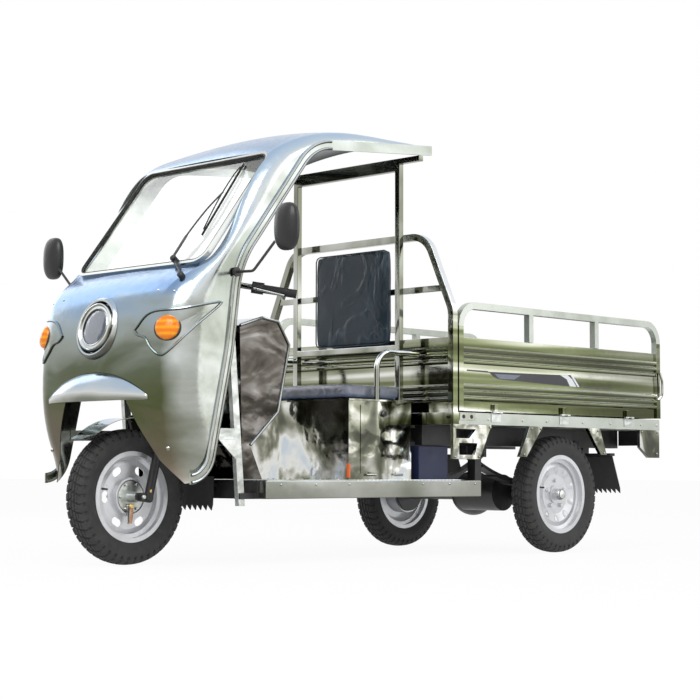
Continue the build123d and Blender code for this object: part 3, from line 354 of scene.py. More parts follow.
def screen_frame_look():
    """Rolled steel edge of the screen opening outside, rubber only next to the pane."""
    look = Look("screen_frame")
    spot = look.add("TexCoord", out=3)
    side = look.math("ABSOLUTE", look.add("SeparateXYZ", {0: spot}, out=1))
    up_x, up_z, foot_x, foot_z, corner = -0.6141, 0.7892, AXLE - 0.0443, 1.0863, 0.05
    along = look.add("VectorMath", {0: spot, 1: (up_x, 0.0, up_z)}, out=1, operation="DOT_PRODUCT")
    foot = up_x * foot_x + up_z * foot_z
    tall = sqrt(0.3363**2 + 0.4322**2)
    up = look.math("ABSOLUTE", look.math("SUBTRACT", along, foot + tall / 2))
    wide = look.math("MAXIMUM", look.math("SUBTRACT", side, 0.364 - corner), 0.0)
    high = look.math("MAXIMUM", look.math("SUBTRACT", up, tall / 2 - corner), 0.0)
    reach = look.math("SQRT", look.math("ADD", look.math("MULTIPLY", wide, wide), look.math("MULTIPLY", high, high)))
    grime = look.noise(30.0, 5.0)
    steel_share = look.span(look.math("ADD", reach, look.span(grime, 0.3, 0.7, -0.0004, 0.0004)), 0.0462, 0.0472)
    colour = look.mix(steel_share, (0.035, 0.035, 0.035), (0.46, 0.47, 0.45))
    return look.finish(Base_Color=colour, Metallic=steel_share, Roughness=look.span(steel_share, 0.0, 1.0, 0.6, 0.24))


screen_frame = screen_frame_look()

# CAD nodes
looks = {
    chrome: "armrests brake_levers handlebar headlight_bezel indicators roof_posts",
    navy: "backrest_pad",
    battery_case: "battery",
    polished: "bed_brackets box_door_left box_door_right front_fender seat_box",
    rail_paint: "bed_floor",
    panels: "bed_headboard side_gate_left side_gate_right tailgate",
    black_paint: "chassis_frame fender_stays fork_springs front_fork leaf_springs mirror_stems rear_axle",
    floor_sheet: "floor_plate",
    zinc: "front_brake gate_hinges shield_struts",
    satin: "front_fairing roof_canopy",
    rubber: "front_flap handlebar_grips rear_flaps",
    wheel_paint: "front_rim rear_rim_left rear_rim_right",
    tyre_rubber: "front_tyre rear_tyre_left rear_tyre_right",
    black_plastic: "headlight_bowl switch_pods",
    lamp_glass: "headlight_lens",
    shield_sheet: "leg_shield",
    mirror_black: "mirror_shells",
    blue_grey: "seat_cushion",
    sill_sheet: "sill_rails",
    clear_glass: "windscreen_glass",
    screen_frame: "windscreen_seal",
}


def dress(obj, mat):
    obj.data.materials.clear()
    obj.data.materials.append(mat)


look_of = {name: mat for mat, group in looks.items() for name in group.split()}
for name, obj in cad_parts.items():
    dress(obj, look_of.get(name, zinc))


def dress_part(name, mat, chosen):
    """Second material on the faces of a node whose centre passes a test."""
    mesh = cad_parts[name].data
    mesh.materials.append(mat)
    for face in mesh.polygons:
        if chosen(face.center):
            face.material_index = 1


for side in ("left", "right"):
    dress_part("side_gate_" + side, rail_paint, lambda c: c.z > 0.8765)
dress_part("bed_headboard", chrome, lambda c: c.z > 0.885)


def soften(name, width):
    """Round the sharp edges of a boxy CAD node a little, so that they catch light."""
    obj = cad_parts[name]
    bpy.context.view_layer.objects.active = obj
    obj.select_set(True)
    bpy.ops.mesh.customdata_custom_splitnormals_clear()
    obj.select_set(False)
    for face in obj.data.polygons:
        face.use_smooth = True
    weld = obj.modifiers.new("weld", "WELD")
    weld.merge_threshold = 0.00003
    edge = obj.modifiers.new("edges", "BEVEL")
    edge.width, edge.segments, edge.limit_method, edge.angle_limit = width, 2, "ANGLE", radians(38)
    edge.use_clamp_overlap = True
    shade = obj.modifiers.new("shade", "WEIGHTED_NORMAL")
    shade.keep_sharp = True


for name, width in (
    ("bed_brackets", 0.0012), ("bed_floor", 0.001), ("bed_headboard", 0.0012), ("box_door_left", 0.0006),
    ("box_door_right", 0.0006), ("chassis_frame", 0.0015), ("seat_box", 0.0008), ("shield_struts", 0.001),
    ("side_gate_left", 0.0009), ("side_gate_right", 0.0009), ("sill_rails", 0.0025), ("tailgate", 0.0009),
    ("roof_posts", 0.002), ("battery", 0.003),
):
    soften(name, width)


# Mesh helpers
def link(name, data):
    obj = bpy.data.objects.new(name, data)
    scene.collection.objects.link(obj)
    return obj


def add_piece(name, mesh, mat, body, cad=(), smooth=True):
    """Put a mesh into the scene with its look, on its body and in place of CAD nodes."""
    obj = link(name, mesh)
    for face in mesh.polygons:
        face.use_smooth = smooth
    dress(obj, mat)
    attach(obj, body)
    if cad:
        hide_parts(*cad)
    return obj


def make(name, points, faces, mat, body="chassis", smooth=True, cad=(), sharp=40):
    mesh = bpy.data.meshes.new(name)
    mesh.from_pydata([tuple(p) for p in points], [], faces)
    obj = add_piece(name, mesh, mat, body, cad, smooth)
    if smooth:
        mesh.set_sharp_from_angle(angle=radians(sharp))
    return obj


def grid_faces(rows, across, close_rows=False, close_across=False):
    """Quads of a grid of points, closed into a ring along either way."""
    faces = []
    for i in range(rows if close_rows else rows - 1):
        for j in range(across if close_across else across - 1):
            near, far, after = i * across, (i + 1) % rows * across, (j + 1) % across
            faces.append((near + j, near + after, far + after, far + j))
    return faces


def frame_at(centre, axis):
    """Matrix whose Z runs along the axis from the centre."""
    turn = Vector(axis).normalized().to_track_quat("Z", "Y").to_matrix().to_4x4()
    return Matrix.Translation(Vector(centre)) @ turn


def lathe_parts(profile, centre, axis, segments=64, closed=False):
    place = frame_at(centre, axis)
    points = []
    for i in range(segments):
        a = 2 * pi * i / segments
        points += [place @ Vector((r * cos(a), r * sin(a), h)) for h, r in profile]
    return points, grid_faces(segments, len(profile), True, closed)


def merge(name, parts, mat, body="chassis", cad=()):
    points, faces = [], []
    for some, shape in parts:
        base = len(points)
        points += list(some)
        faces += [tuple(base + k for k in face) for face in shape]
    return make(name, points, faces, mat, body, cad=cad)


def tube_parts(path, radius, sides=10, squash=1.0, up=(0, 0, 1)):
    """Round or flattened tube along points, with closed ends."""
    path = [Vector(p) for p in path]
    points, faces = [], []
    side = None
    for k, spot in enumerate(path):
        ahead = path[min(k + 1, len(path) - 1)] - path[max(k - 1, 0)]
        ahead.normalize()
        if side is None:
            side = ahead.cross(Vector(up))
            if side.length < 1e-3:
                side = ahead.cross(Vector((0, 1, 0.1)))
        side = (side - ahead * side.dot(ahead)).normalized()
        top = side.cross(ahead)
        r = radius[k] if hasattr(radius, "__len__") else radius
        for j in range(sides):
            a = 2 * pi * j / sides
            points.append(spot + side * (r * cos(a)) + top * (r * squash * sin(a)))
    faces += grid_faces(len(path), sides, False, True)
    faces.append(tuple(range(sides)))
    faces.append(tuple(range(len(points) - 1, len(points) - sides - 1, -1)))
    return points, faces


def bolt_parts(centre, axis, radius, height, sides=6):
    """Hexagon bolt head with a chamfered crown, or a dome where sides is large."""
    profile = [(-0.001, radius), (height * 0.7, radius), (height, radius * 0.78), (height * 1.04, 0.0)]
    if sides > 8:
        profile = [(-0.001, radius), (height * 0.45, radius * 0.92), (height * 0.85, radius * 0.6), (height, 0.0)]
    return lathe_parts(profile, centre, axis, sides)


def smooth_path(points, steps=8):
    """Catmull-Rom line through the points."""
    pts = [Vector(p) for p in points]
    pts = [2 * pts[0] - pts[1], *pts, 2 * pts[-1] - pts[-2]]
    line = []
    for k in range(1, len(pts) - 2):
        p0, p1, p2, p3 = pts[k - 1 : k + 3]
        for s in range(steps):
            t = s / steps
            bend, twist = 2 * p0 - 5 * p1 + 4 * p2 - p3, 3 * p1 - p0 - 3 * p2 + p3
            line.append(0.5 * (2 * p1 + (p2 - p0) * t + bend * t * t + twist * t**3))
    return [*line, pts[-2]]


def flipped(parts):
    """The same parts on the other side of the vehicle."""
    points, faces = parts
    return [Vector((p[0], -p[1], p[2])) for p in points], [tuple(reversed(face)) for face in faces]


def both(parts):
    return [*parts, *[flipped(part) for part in parts]]


def block_parts(low, high):
    """Box between two corners."""
    (x0, y0, z0), (x1, y1, z1) = low, high
    points = [Vector((x, y, z)) for x in (x0, x1) for y in (y0, y1) for z in (z0, z1)]
    return points, [(0, 1, 3, 2), (4, 6, 7, 5), (0, 4, 5, 1), (2, 3, 7, 6), (0, 2, 6, 4), (1, 5, 7, 3)]


def bolt_row(name, places, axis, radius, height, mat, sides=6, pair=True):
    """Bolt heads at places given from the front axle, on both sides of the vehicle or as they are."""
    bolts = [bolt_parts((x + AXLE, y, z), axis, radius, height, sides) for x, y, z in places]
    merge(name, both(bolts) if pair else bolts, mat)


def node_tree(name):
    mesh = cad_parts[name].data
    return BVHTree.FromPolygons([v.co for v in mesh.vertices], [tuple(p.vertices) for p in mesh.polygons])


skin_tree = node_tree("front_fairing")
glass_tree = node_tree("windscreen_glass")


def seen(tree, x, y, z, lift=0.0):
    """Point of the surface that lies on the camera's line through a point given from the front axle."""
    goal = Vector((x + AXLE, y, z))
    way = (goal - CAMERA).normalized()
    spot, normal, _, _ = tree.ray_cast(CAMERA, way)
    if spot is None:
        return goal
    if normal.dot(way) > 0:
        normal = -normal
    return spot + normal * lift


def skin_front(y, z, lift=0.0):
    """Point of the nose straight behind y, z."""
    spot, normal, _, _ = skin_tree.ray_cast(Vector((AXLE + 0.6, y, z)), Vector((-1, 0, 0)))
    if spot is None:
        return None
    if normal.x < 0:
        normal = -normal
    return spot + normal * lift


# Tyres
def tyre_mesh(name, x, y, body, cad):
    half = [
        (0.0338, 0.1535), (0.0345, 0.163), (0.04, 0.176), (0.0462, 0.19), (0.049, 0.204), (0.0488, 0.216),
        (0.0462, 0.227), (0.0425, 0.2355), (0.0385, 0.2405), (0.033, 0.2432), (0.027, 0.2448), (0.02, 0.2458),
        (0.013, 0.2466), (0.0065, 0.2472), (0.0, 0.2474),
    ]
    dense = []
    for (a0, r0), (a1, r1) in zip(half, half[1:]):
        for s in range(3):
            dense.append((a0 + (a1 - a0) * s / 3, r0 + (r1 - r0) * s / 3))
    profile = [*dense, half[-1], *[(-a, r) for a, r in reversed(dense)]]
    lugs, per = 46, 14
    around = lugs * per
    depth = 0.0062
    points = []
    for i in range(around):
        turn = i / per
        angle = 2 * pi * i / around
        for a, r in profile:
            out = abs(a)
            low = 0.0
            hand = 1.0 if a > 0 else 0.5
            phase = (turn + hand * 0.5 + 10.0 * out) % 1.0
            if r > 0.233:
                if phase < 0.22 and out > 0.004:
                    low = depth
                if 0.015 < out < 0.0185 and (turn + hand) % 1.0 < 0.86:
                    low = depth
                if 0.0285 < out < 0.031 and phase > 0.5:
                    low = max(low, depth * 0.7)
                if out <= 0.0022:
                    low = depth * 0.8
            elif r > 0.216:
                if phase < 0.34:
                    low = depth * (r - 0.21) / 0.024
            elif 0.1985 < r < 0.2025:
                low = -0.0012
            elif 0.174 < r < 0.1775:
                low = -0.001
            scale = (r - low) if r > 0.21 or low < 0 else r
            across = a - (0.0 if r > 0.23 else low * (1 if a > 0 else -1) * 0.8)
            points.append((x + scale * cos(angle), y + across, WHEEL_Z + scale * sin(angle)))
    make(name, points, grid_faces(around, len(profile), True), tyre_rubber, body, cad=cad, sharp=28)


WHEELS = (
    ("front", "", AXLE, 0.0, 1), ("rear", "_left", BACK_AXLE, REAR_HALF_TRACK, 1),
    ("rear", "_right", BACK_AXLE, -REAR_HALF_TRACK, -1),
)
for end, side, x, y, _ in WHEELS:
    tyre_mesh(end + "_tread" + side, x, y, end + "_wheel" + side, [end + "_tyre" + side])


def wheel_fittings(name, x, y, hand):
    """Valve, and the studs of the front wheel or the flutes and cap of a rear one."""
    axis = (0, hand, 0)
    valve = [(x + 0.118, y + hand * 0.01, WHEEL_Z + 0.03), (x + 0.112, y + hand * 0.034, WHEEL_Z + 0.028)]
    merge(name + "_valve", [tube_parts(valve, 0.0035, 8)], black_plastic, name)
    if name == "front_wheel":
        studs = []
        for k in range(6):
            a = radians(60 * k)
            spot = (x + 0.05 * cos(a), y + hand * 0.03, WHEEL_Z + 0.05 * sin(a))
            studs.append(bolt_parts(spot, axis, 0.0055, 0.005))
        merge(name + "_studs", studs, zinc, name)
        return
    cap = lathe_parts([(0.03, 0.0243), (0.036, 0.0238), (0.044, 0.018), (0.046, 0.0)], (x, y, WHEEL_Z), axis, 40)
    # Radius, half width and height of the rows of one flute
    flute = (
        (0.086, 0.004, -0.003), (0.092, 0.01, 0.003), (0.106, 0.013, 0.0085), (0.114, 0.013, 0.01),
        (0.12, 0.008, 0.0035),
    )
    ribs = []
    for k in range(10):
        a = radians(36 * k + 18)
        across = Vector((-sin(a), 0, cos(a)))
        out = Vector((cos(a), 0, sin(a)))
        centre = Vector((x, y + hand * 0.0062, WHEEL_Z))
        rows = []
        for r, w, h in flute:
            for side, drop in ((-1.0, 0.003), (-0.5, 0.0), (0.5, 0.0), (1.0, 0.003)):
                rows.append(centre + out * r + across * (w * side) + Vector((0, hand * (h - drop), 0)))
        ribs.append((rows, grid_faces(5, 4)))
    merge(name + "_flutes", ribs, wheel_paint, name)
    merge(name + "_cap", [cap], zinc, name)


for end, side, x, y, hand in WHEELS:
    wheel_fittings(end + "_wheel" + side, x, y, hand)

# Axle hardware and the brake lever of the front wheel
nuts = [bolt_parts((AXLE, 0.1015 * hand, WHEEL_Z), (0, hand, 0), 0.0085, 0.007) for hand in (1, -1)]
merge("front_axle_nut", nuts, zinc, "steering")
merge("front_lug_bolt", [bolt_parts((AXLE - 0.043, 0.0852, WHEEL_Z + 0.02), OUT, 0.0095, 0.011)], gold, "steering")
lever = ((0.012, 0.046, 0.034), (0.012, 0.05, 0.06), (0.014, 0.046, 0.096))
lever_path = [(AXLE + x, y, WHEEL_Z - drop) for x, y, drop in lever]
merge("front_brake_arm", [tube_parts(smooth_path(lever_path), 0.0065, 10, 0.5)], copper, "steering")
merge("front_brake_nut", [bolt_parts((AXLE + 0.012, 0.0445, WHEEL_Z - 0.034), OUT, 0.0095, 0.008)], gold, "steering")

# Fork springs
RAKE = radians(14.0)
LEAN = Vector((-sin(RAKE), 0, cos(RAKE)))
AHEAD = Vector((cos(RAKE), 0, sin(RAKE)))


def steer_point(along, ahead, y):
    return Vector((AXLE - 0.053, y, WHEEL_Z)) + LEAN * along + AHEAD * ahead


def coil(y):
    path = []
    turns, low, high = 6, 0.304, 0.391
    for k in range(turns * 20 + 1):
        a = 2 * pi * k / 20
        along = low + (high - low) * k / (turns * 20)
        path.append(steer_point(along, 0.012 + 0.0245 * cos(a), y + 0.0245 * sin(a)))
    return tube_parts(path, 0.0036, 8)


def collar(y, along, radius, thick):
    return lathe_parts(
        [(0, 0.018), (0, radius), (thick, radius), (thick, 0.018)], steer_point(along, 0.012, y), LEAN, 32, True,
    )


spring_parts = []
for y in (0.08, -0.08):
    spring_parts += [
        coil(y), collar(y, 0.292, 0.03, 0.008), collar(y, 0.392, 0.029, 0.003), collar(y, 0.15, 0.0195, 0.012),
    ]
merge("fork_coils", spring_parts, black_paint, "steering", cad=["fork_springs"])

# Nose details
# Lip over the wheel arch
lip_cols = 49
points = []
for j in range(lip_cols):
    u = -1.0 + 2.0 * j / (lip_cols - 1)
    y = 0.29 * u
    share = 1.0 - abs(u) ** 2.2
    out = 0.041 * (1.0 - abs(u) ** 2.6)
    top = skin_front(y, 0.606 + 0.088 * share, 0.0006)
    crest = skin_front(y, 0.6 + 0.048 * share, 0.0006) + Vector((out, 0, 0))
    foot = skin_front(y, 0.597, 0.0006) + Vector((out * 1.12, 0, -0.006))
    root = skin_front(y, 0.597, -0.001) + Vector((0, 0, -0.003))
    for k in range(6):
        t = k / 5
        spot = top.lerp(crest, t)
        points.append(spot + Vector((0, 0, 0.006 * sin(pi * t) * share)))
    for k in range(1, 6):
        t = k / 5
        points.append(crest.lerp(foot, t) + Vector((0.006 * sin(pi * t) * share, 0, 0)))
    for k in (0.08, 0.5, 1.0):
        points.append(foot.lerp(root, k))
lip_rows = len(points) // lip_cols
lip = make("nose_lip", points, grid_faces(lip_cols, lip_rows), plain_satin)
thick = lip.modifiers.new("sheet", "SOLIDIFY")
thick.thickness, thick.offset = 0.0022, 0.0

# Wing-shaped pressing round each indicator
WING = [(0.233, 0.824), (0.162, 0.891), (0.019, 0.916), (-0.146, 0.95), (-0.152, 0.938), (-0.044, 0.86),
        (0.081, 0.764), (0.122, 0.747), (0.16, 0.769), (0.186, 0.802), (0.217, 0.81)]
wing_line = smooth_path([*[(x, 0, z) for x, z in WING], (WING[0][0], 0, WING[0][1])], 6)
wing_edge = [seen(skin_tree, p.x, LAMP_Y, p.z, 0.0015) for p in wing_line]
merge("wing_rims", both([tube_parts(wing_edge, 0.005, 8)]), satin)
middle = (0.09, 0.84)
inner, count = [], len(wing_line) - 1
for share in (0.94, 0.72, 0.5, 0.3):
    for p in wing_line[:-1]:
        x = middle[0] + (p.x - middle[0]) * share
        z = middle[1] + (p.z - middle[1]) * share
        inner.append(seen(skin_tree, x, LAMP_Y, z, 0.0012))
merge("wing_faces", both([(inner, grid_faces(4, count, False, True))]), satin)


lamp_spot = seen(skin_tree, 0.083, LAMP_Y, 0.846) - Vector((0, 0.005, 0))
dome, cup = [], []
for hand in (1, -1):
    axis = Vector((0.8, 0.5 * hand, 0.22)).normalized()
    centre = Vector((lamp_spot.x, lamp_spot.y * hand, lamp_spot.z)) - axis * 0.005
    profile = [
        (-0.012, 0.045), (0.004, 0.0448), (0.013, 0.0425), (0.021, 0.0365), (0.0265, 0.027), (0.029, 0.016),
        (0.0298, 0.0),
    ]
    dome.append(lathe_parts(profile, centre, axis, 48))
    ring = [(-0.026, 0.0455), (-0.026, 0.052), (0.0, 0.0505), (0.004, 0.0485), (0.004, 0.0455), (-0.006, 0.0452)]
    cup.append(lathe_parts(ring, centre, axis, 48, True))
merge("indicator_domes", dome, amber, cad=["indicators"])
merge("indicator_cups", cup, black_plastic)
spots = [seen(skin_tree, x, LAMP_Y, z) for x, z in ((0.128, 0.973), (0.056, 0.976))]
merge("wing_screws", both([bolt_parts(spot, (0.7, 0.4, 0.5), 0.0045, 0.003, 12) for spot in spots]), chrome)
leg_bolt = bolt_parts(seen(skin_tree, 0.078, LAMP_Y, 0.42), (0.97, 0.2, 0.05), 0.009, 0.006, 12)
merge("leg_bolts", both([leg_bolt]), chrome)

# Bright rolled edge of the leg shield's cheeks
RIM = [(-0.284, 0.876), (-0.393, 0.911), (-0.475, 0.901), (-0.532, 0.817), (-0.476, 0.563), (-0.338, 0.438)]
rim_line = smooth_path([(x + AXLE, 0.3005, z) for x, z in RIM], 1)
merge("shield_rims", both([tube_parts(rim_line, 0.006, 8)]), plain_satin)

# Headlight: pressed ring, bezel with a plain band, reflector and glass
tilt = Vector((cos(radians(12)), 0, sin(radians(12))))
lamp = Vector((AXLE + 0.14, 0, 0.857))


def lamp_piece(name, profile, mat, segments, closed, cad=()):
    merge(name, [lathe_parts(profile, lamp, tilt, segments, closed)], mat, cad=cad)


ring = [
    (-0.014, 0.092), (0.002, 0.094), (0.01, 0.099), (0.011, 0.105), (0.006, 0.112), (-0.01, 0.117), (-0.016, 0.112),
]
lamp_piece("headlight_surround", ring, plain_satin, 96, True)
bezel = [
    (-0.02, 0.091), (0.01, 0.0912), (0.0165, 0.0885), (0.0175, 0.085), (0.015, 0.0815), (0.012, 0.079),
    (0.012, 0.0712), (0.015, 0.069), (0.014, 0.0665), (-0.004, 0.0655), (-0.02, 0.08),
]
lamp_piece("headlight_ring", bezel, chrome, 96, True, ["headlight_bezel"])
bowl = [(0.004, 0.066), (-0.012, 0.061), (-0.03, 0.05), (-0.044, 0.034), (-0.05, 0.016), (-0.051, 0.0)]
# Painted reflection in the reflector bowl: its colour follows the way the surface faces
dark_bowl = steel(
    "reflector",
    [(0.0, (0.05, 0.05, 0.05)), (0.45, (0.16, 0.17, 0.17)), (0.55, (0.55, 0.58, 0.6)), (1.0, (0.3, 0.36, 0.4))],
    rough=(0.05, 0.12), dent=0.2, dent_scale=20.0,
)
lamp_piece("headlight_reflector", bowl, dark_bowl, 64, False, ["headlight_bowl"])
pane = [
    (0.008, 0.0668), (0.012, 0.06), (0.0155, 0.042), (0.0172, 0.02), (0.0178, 0.0), (0.0148, 0.0), (0.0142, 0.02),
    (0.0125, 0.042), (0.009, 0.059), (0.005, 0.0668),
]
lamp_piece("headlight_pane", pane, lamp_glass, 64, True, ["headlight_lens"])
bulb = [(-0.046, 0.012), (-0.03, 0.012), (-0.022, 0.015), (-0.014, 0.011), (-0.01, 0.0)]
lamp_piece("headlight_bulb_cap", bulb, chrome, 24, False)


# Flange beads
def fillet_line(points, radii, step=0.012):
    """Line through the corners with round bends, as evenly spaced points."""
    pts = [Vector((x, 0, z)) for x, z in points]
    line = [pts[0]]
    for corner, before, after, r in zip(pts[1:-1], pts, pts[2:], radii):
        a, b = (before - corner).normalized(), (after - corner).normalized()
        half = a.angle(b) / 2
        reach = r * cos(half) / sin(half)
        first, last = corner + a * reach, corner + b * reach
        centre = corner + (a + b).normalized() * (r / sin(half))
        arc = int(max(4, (pi - 2 * half) * r / step))
        start = atan2(first.z - centre.z, first.x - centre.x)
        turn = (atan2(last.z - centre.z, last.x - centre.x) - start + pi) % (2 * pi) - pi
        for k in range(arc + 1):
            angle = start + turn * k / arc
            line.append(centre + Vector((r * cos(angle), 0, r * sin(angle))))
    line.append(pts[-1])
    return line


def shifted_line(line, amount):
    moved = []
    for k, p in enumerate(line):
        ahead = (line[min(k + 1, len(line) - 1)] - line[max(k - 1, 0)]).normalized()
        moved.append(p + Vector((ahead.z, 0, -ahead.x)) * amount)
    return moved


CONTOUR = [(0.26, 0.295), (-0.037, 0.295), (-0.142, 0.772), (-0.181, 1.08), (-0.55, 1.55), (-1.26, 1.617)]
side_line = fillet_line([(x + AXLE, z) for x, z in CONTOUR], (0.12, 0.9, 0.35, 0.2))
beads = []
for away, radius in ((0.0055, 0.0062), (0.0315, 0.0062)):
    run = [p for p in shifted_line(side_line, away) if -1.2045 + AXLE < p.x < 0.055 + AXLE and p.z > 0.298]
    if run[0].z < 0.6 and run[0].x > AXLE - 0.04:
        run = [p for p in run if p.z > 0.2985]
    beads.append(tube_parts([Vector((p.x, 0.4232, p.z)) for p in run], radius, 8, 1.0, (0, 1, 0)))
foot_line = [skin_front(y, 0.2995, 0.001) for y in (0.374, 0.384, 0.394, 0.404, 0.412, 0.417)]
beads.append(tube_parts([p for p in foot_line if p is not None], 0.0058, 8))
merge("flange_beads", both(beads), plain_satin)

# Wiper
pivot = seen(glass_tree, -0.096, 0.16, 1.105, 0.012)
knob = seen(skin_tree, -0.11, 0.175, 1.05, 0.004)
blade_low = seen(glass_tree, -0.231, 0.15, 1.215, 0.01)
blade_high = seen(glass_tree, -0.439, 0.15, 1.509, 0.01)
joint = blade_low.lerp(blade_high, 0.55)
glass_normal = Vector((0.789, 0, 0.614))
arm_heights = ((0.0, 0.012), (0.3, 0.022), (0.7, 0.022), (1.0, 0.012))
arm = [pivot.lerp(joint, t) + glass_normal * h for t, h in arm_heights]
cap = [(-0.014, 0.012), (0.014, 0.012), (0.018, 0.008), (0.019, 0.0)]
arm_parts = [
    tube_parts(smooth_path(arm[:2], 6), 0.0085, 8, 0.55), tube_parts(smooth_path(arm, 6), 0.005, 8, 0.7),
    lathe_parts(cap, pivot, glass_normal, 24), lathe_parts(cap, knob, (0.8, 0.2, 0.5), 24),
    tube_parts([pivot, knob], 0.005, 8),
]
merge("wiper_arm", arm_parts, black_plastic)
bow_heights = ((0.06, 0.003), (0.3, 0.01), (0.55, 0.013), (0.8, 0.01), (0.94, 0.003))
bow = [blade_low.lerp(blade_high, t) + glass_normal * h for t, h in bow_heights]
rubber_line = [blade_low.lerp(blade_high, t) - glass_normal * 0.004 for t in (0.0, 0.5, 1.0)]
merge(
    "wiper_blade", [tube_parts(smooth_path(bow, 6), 0.0032, 6, 0.7), tube_parts(rubber_line, 0.003, 6, 1.6)], rubber,
)


# Mirrors
def mirror_parts(hand):
    centre = Vector((AXLE - 0.145, 0.6795 * hand, 1.193))
    rows, cols = 20, 40
    shell = []
    for i in range(rows):
        v = i / (rows - 1)
        depth = 0.02 - 0.04 * v
        swell = sin(min(1.0, v * 1.25 + 0.02) * pi / 2) ** 0.5
        for j in range(cols):
            a = 2 * pi * j / cols
            c, s = cos(a), sin(a)
            y = 0.0565 * swell * abs(c) ** 0.72 * (1 if c > 0 else -1)
            z = 0.084 * swell * abs(s) ** 0.78 * (1 if s > 0 else -1)
            shell.append(centre + Vector((depth, y, z)))
    faces = grid_faces(rows, cols, False, True)
    faces.append(tuple(reversed(range(cols))))
    rim = [centre + Vector((-0.0195, p.y - centre.y, p.z - centre.z)) for p in shell[-cols:]]
    glass = [centre + Vector((-0.0178, (p.y - centre.y) * 0.93, (p.z - centre.z) * 0.94)) for p in rim]
    return (shell, faces), (glass, [tuple(range(cols))])


# Painted reflection in the mirror glass: its colour follows the way the surface faces
mirror_look = steel(
    "mirror_glass", [(0.0, (0.45, 0.46, 0.46)), (0.5, (0.7, 0.73, 0.74)), (1.0, (0.8, 0.86, 0.92))],
    rough=(0.02, 0.04), dent=0.02,
)
shells = [mirror_parts(1), mirror_parts(-1)]
merge("mirror_backs", [s[0] for s in shells], mirror_black, cad=["mirror_shells"])
merge("mirror_faces", [s[1] for s in shells], mirror_look)


# Cushions
def pad_mesh(name, low, high, mat, crown, roll, cad):
    """Padded block: crowned faces, rolled edges and corners that pull in."""
    (x0, y0, z0), (x1, y1, z1) = low, high
    mesh = bpy.data.meshes.new(name)
    bm = bmesh.new()
    bmesh.ops.create_cube(bm, size=1.0)
    bmesh.ops.subdivide_edges(bm, edges=bm.edges[:], cuts=26, use_grid_fill=True)
    centre = Vector(((x0 + x1) / 2, (y0 + y1) / 2, (z0 + z1) / 2))
    half = Vector(((x1 - x0) / 2, (y1 - y0) / 2, (z1 - z0) / 2))
    thin = min(range(3), key=lambda k: half[k])
    wide = [k for k in range(3) if k != thin]
    for v in bm.verts:
        share = [max(-1.0, min(1.0, 2 * c)) for c in v.co]
        spot = Vector([share[k] * half[k] for k in range(3)])
        a, b = share[wide[0]], share[wide[1]]
        edge = 1.0 - (abs(share[thin]) ** 3)
        swell = (1 - a**4) * (1 - b**4)
        spot[thin] = share[thin] * (half[thin] - crown + crown * swell)
        for k, other in ((wide[0], b), (wide[1], a)):
            spot[k] *= 1.0 - roll * (1.0 - edge) / half[k] * (0.5 + 0.5 * abs(share[k]) ** 8)
            spot[k] *= 1.0 - 0.006 / half[k] * abs(other) ** 6
        v.co = spot + centre
    bm.to_mesh(mesh)
    bm.free()
    return add_piece(name, mesh, mat, "chassis", cad)


def puff(obj, cap, hold_low):
    """Inflate the cover with cloth pressure, within the cap, and leave the resting face flat."""
    rest = np.array([v.co for v in obj.data.vertices], float)
    cloth = obj.modifiers.new("cloth", "CLOTH")
    cloth.settings.quality = 5
    cloth.settings.use_pressure = True
    cloth.settings.uniform_pressure_force = 4.0
    cloth.settings.effector_weights.gravity = 0.0
    for number in range(1, 21):
        scene.frame_set(number)
    posed = obj.evaluated_get(bpy.context.evaluated_depsgraph_get())
    moved = np.array([v.co for v in posed.data.vertices], float) - rest
    length = np.linalg.norm(moved, axis=1, keepdims=True)
    moved *= np.minimum(1.0, cap / np.maximum(length, 1e-9))
    moved *= hold_low(rest)[:, None]
    obj.modifiers.remove(cloth)
    scene.frame_set(1)
    for v, p in zip(obj.data.vertices, rest + moved):
        v.co = p


def crease(obj, amount, scale):
    """Shallow folds of the loose film and a smoother surface."""
    texture = bpy.data.textures.new(obj.name + "_folds", "CLOUDS")
    texture.noise_scale, texture.noise_depth = scale, 2
    fold = obj.modifiers.new("folds", "DISPLACE")
    fold.texture, fold.strength, fold.mid_level, fold.texture_coords = texture, amount, 0.62, "LOCAL"
    level = obj.modifiers.new("round", "SUBSURF")
    level.levels = level.render_levels = 1


seat = pad_mesh(
    "seat_pad", (AXLE - 1.132, -0.326, 0.6235), (AXLE - 0.812, 0.326, 0.684), blue_grey, 0.007, 0.013,
    ["seat_cushion"],
)
back = pad_mesh(
    "back_pad", (AXLE - 1.2065, -0.212, 0.858), (AXLE - 1.17, 0.212, 1.25), navy, 0.006, 0.009,
    ["backrest_pad"],
)
puff(seat, 0.004, lambda rest: np.clip((rest[:, 2] - 0.628) / 0.02, 0, 1))
puff(back, 0.003, lambda rest: np.clip((rest[:, 0] - (AXLE - 1.203)) / 0.01, 0, 1))
crease(seat, 0.004, 0.035)
crease(back, 0.003, 0.05)


def welt(low, high, x):
    """Piping round the edge of a pad."""
    (y0, z0), (y1, z1) = low, high
    corners = [(x, y0, z0), (x, y1, z0), (x, y1, z1), (x, y0, z1)]
    line = []
    for k in range(4):
        a, b, c = Vector(corners[k - 1]), Vector(corners[k]), Vector(corners[(k + 1) % 4])
        first, last = b + (a - b).normalized() * 0.02, b + (c - b).normalized() * 0.02
        line += [first, first.lerp(last, 0.5).lerp(b, 0.4), last]
    line.append(line[0])
    return tube_parts(line, 0.0028, 6, 1.0, (1, 0, 0))


merge("back_pad_piping", [welt((-0.208, 0.862), (0.208, 1.246), AXLE - 1.1765)], navy)

# Bed trim
GATE_Y = 0.5275
FILM = 0.0004
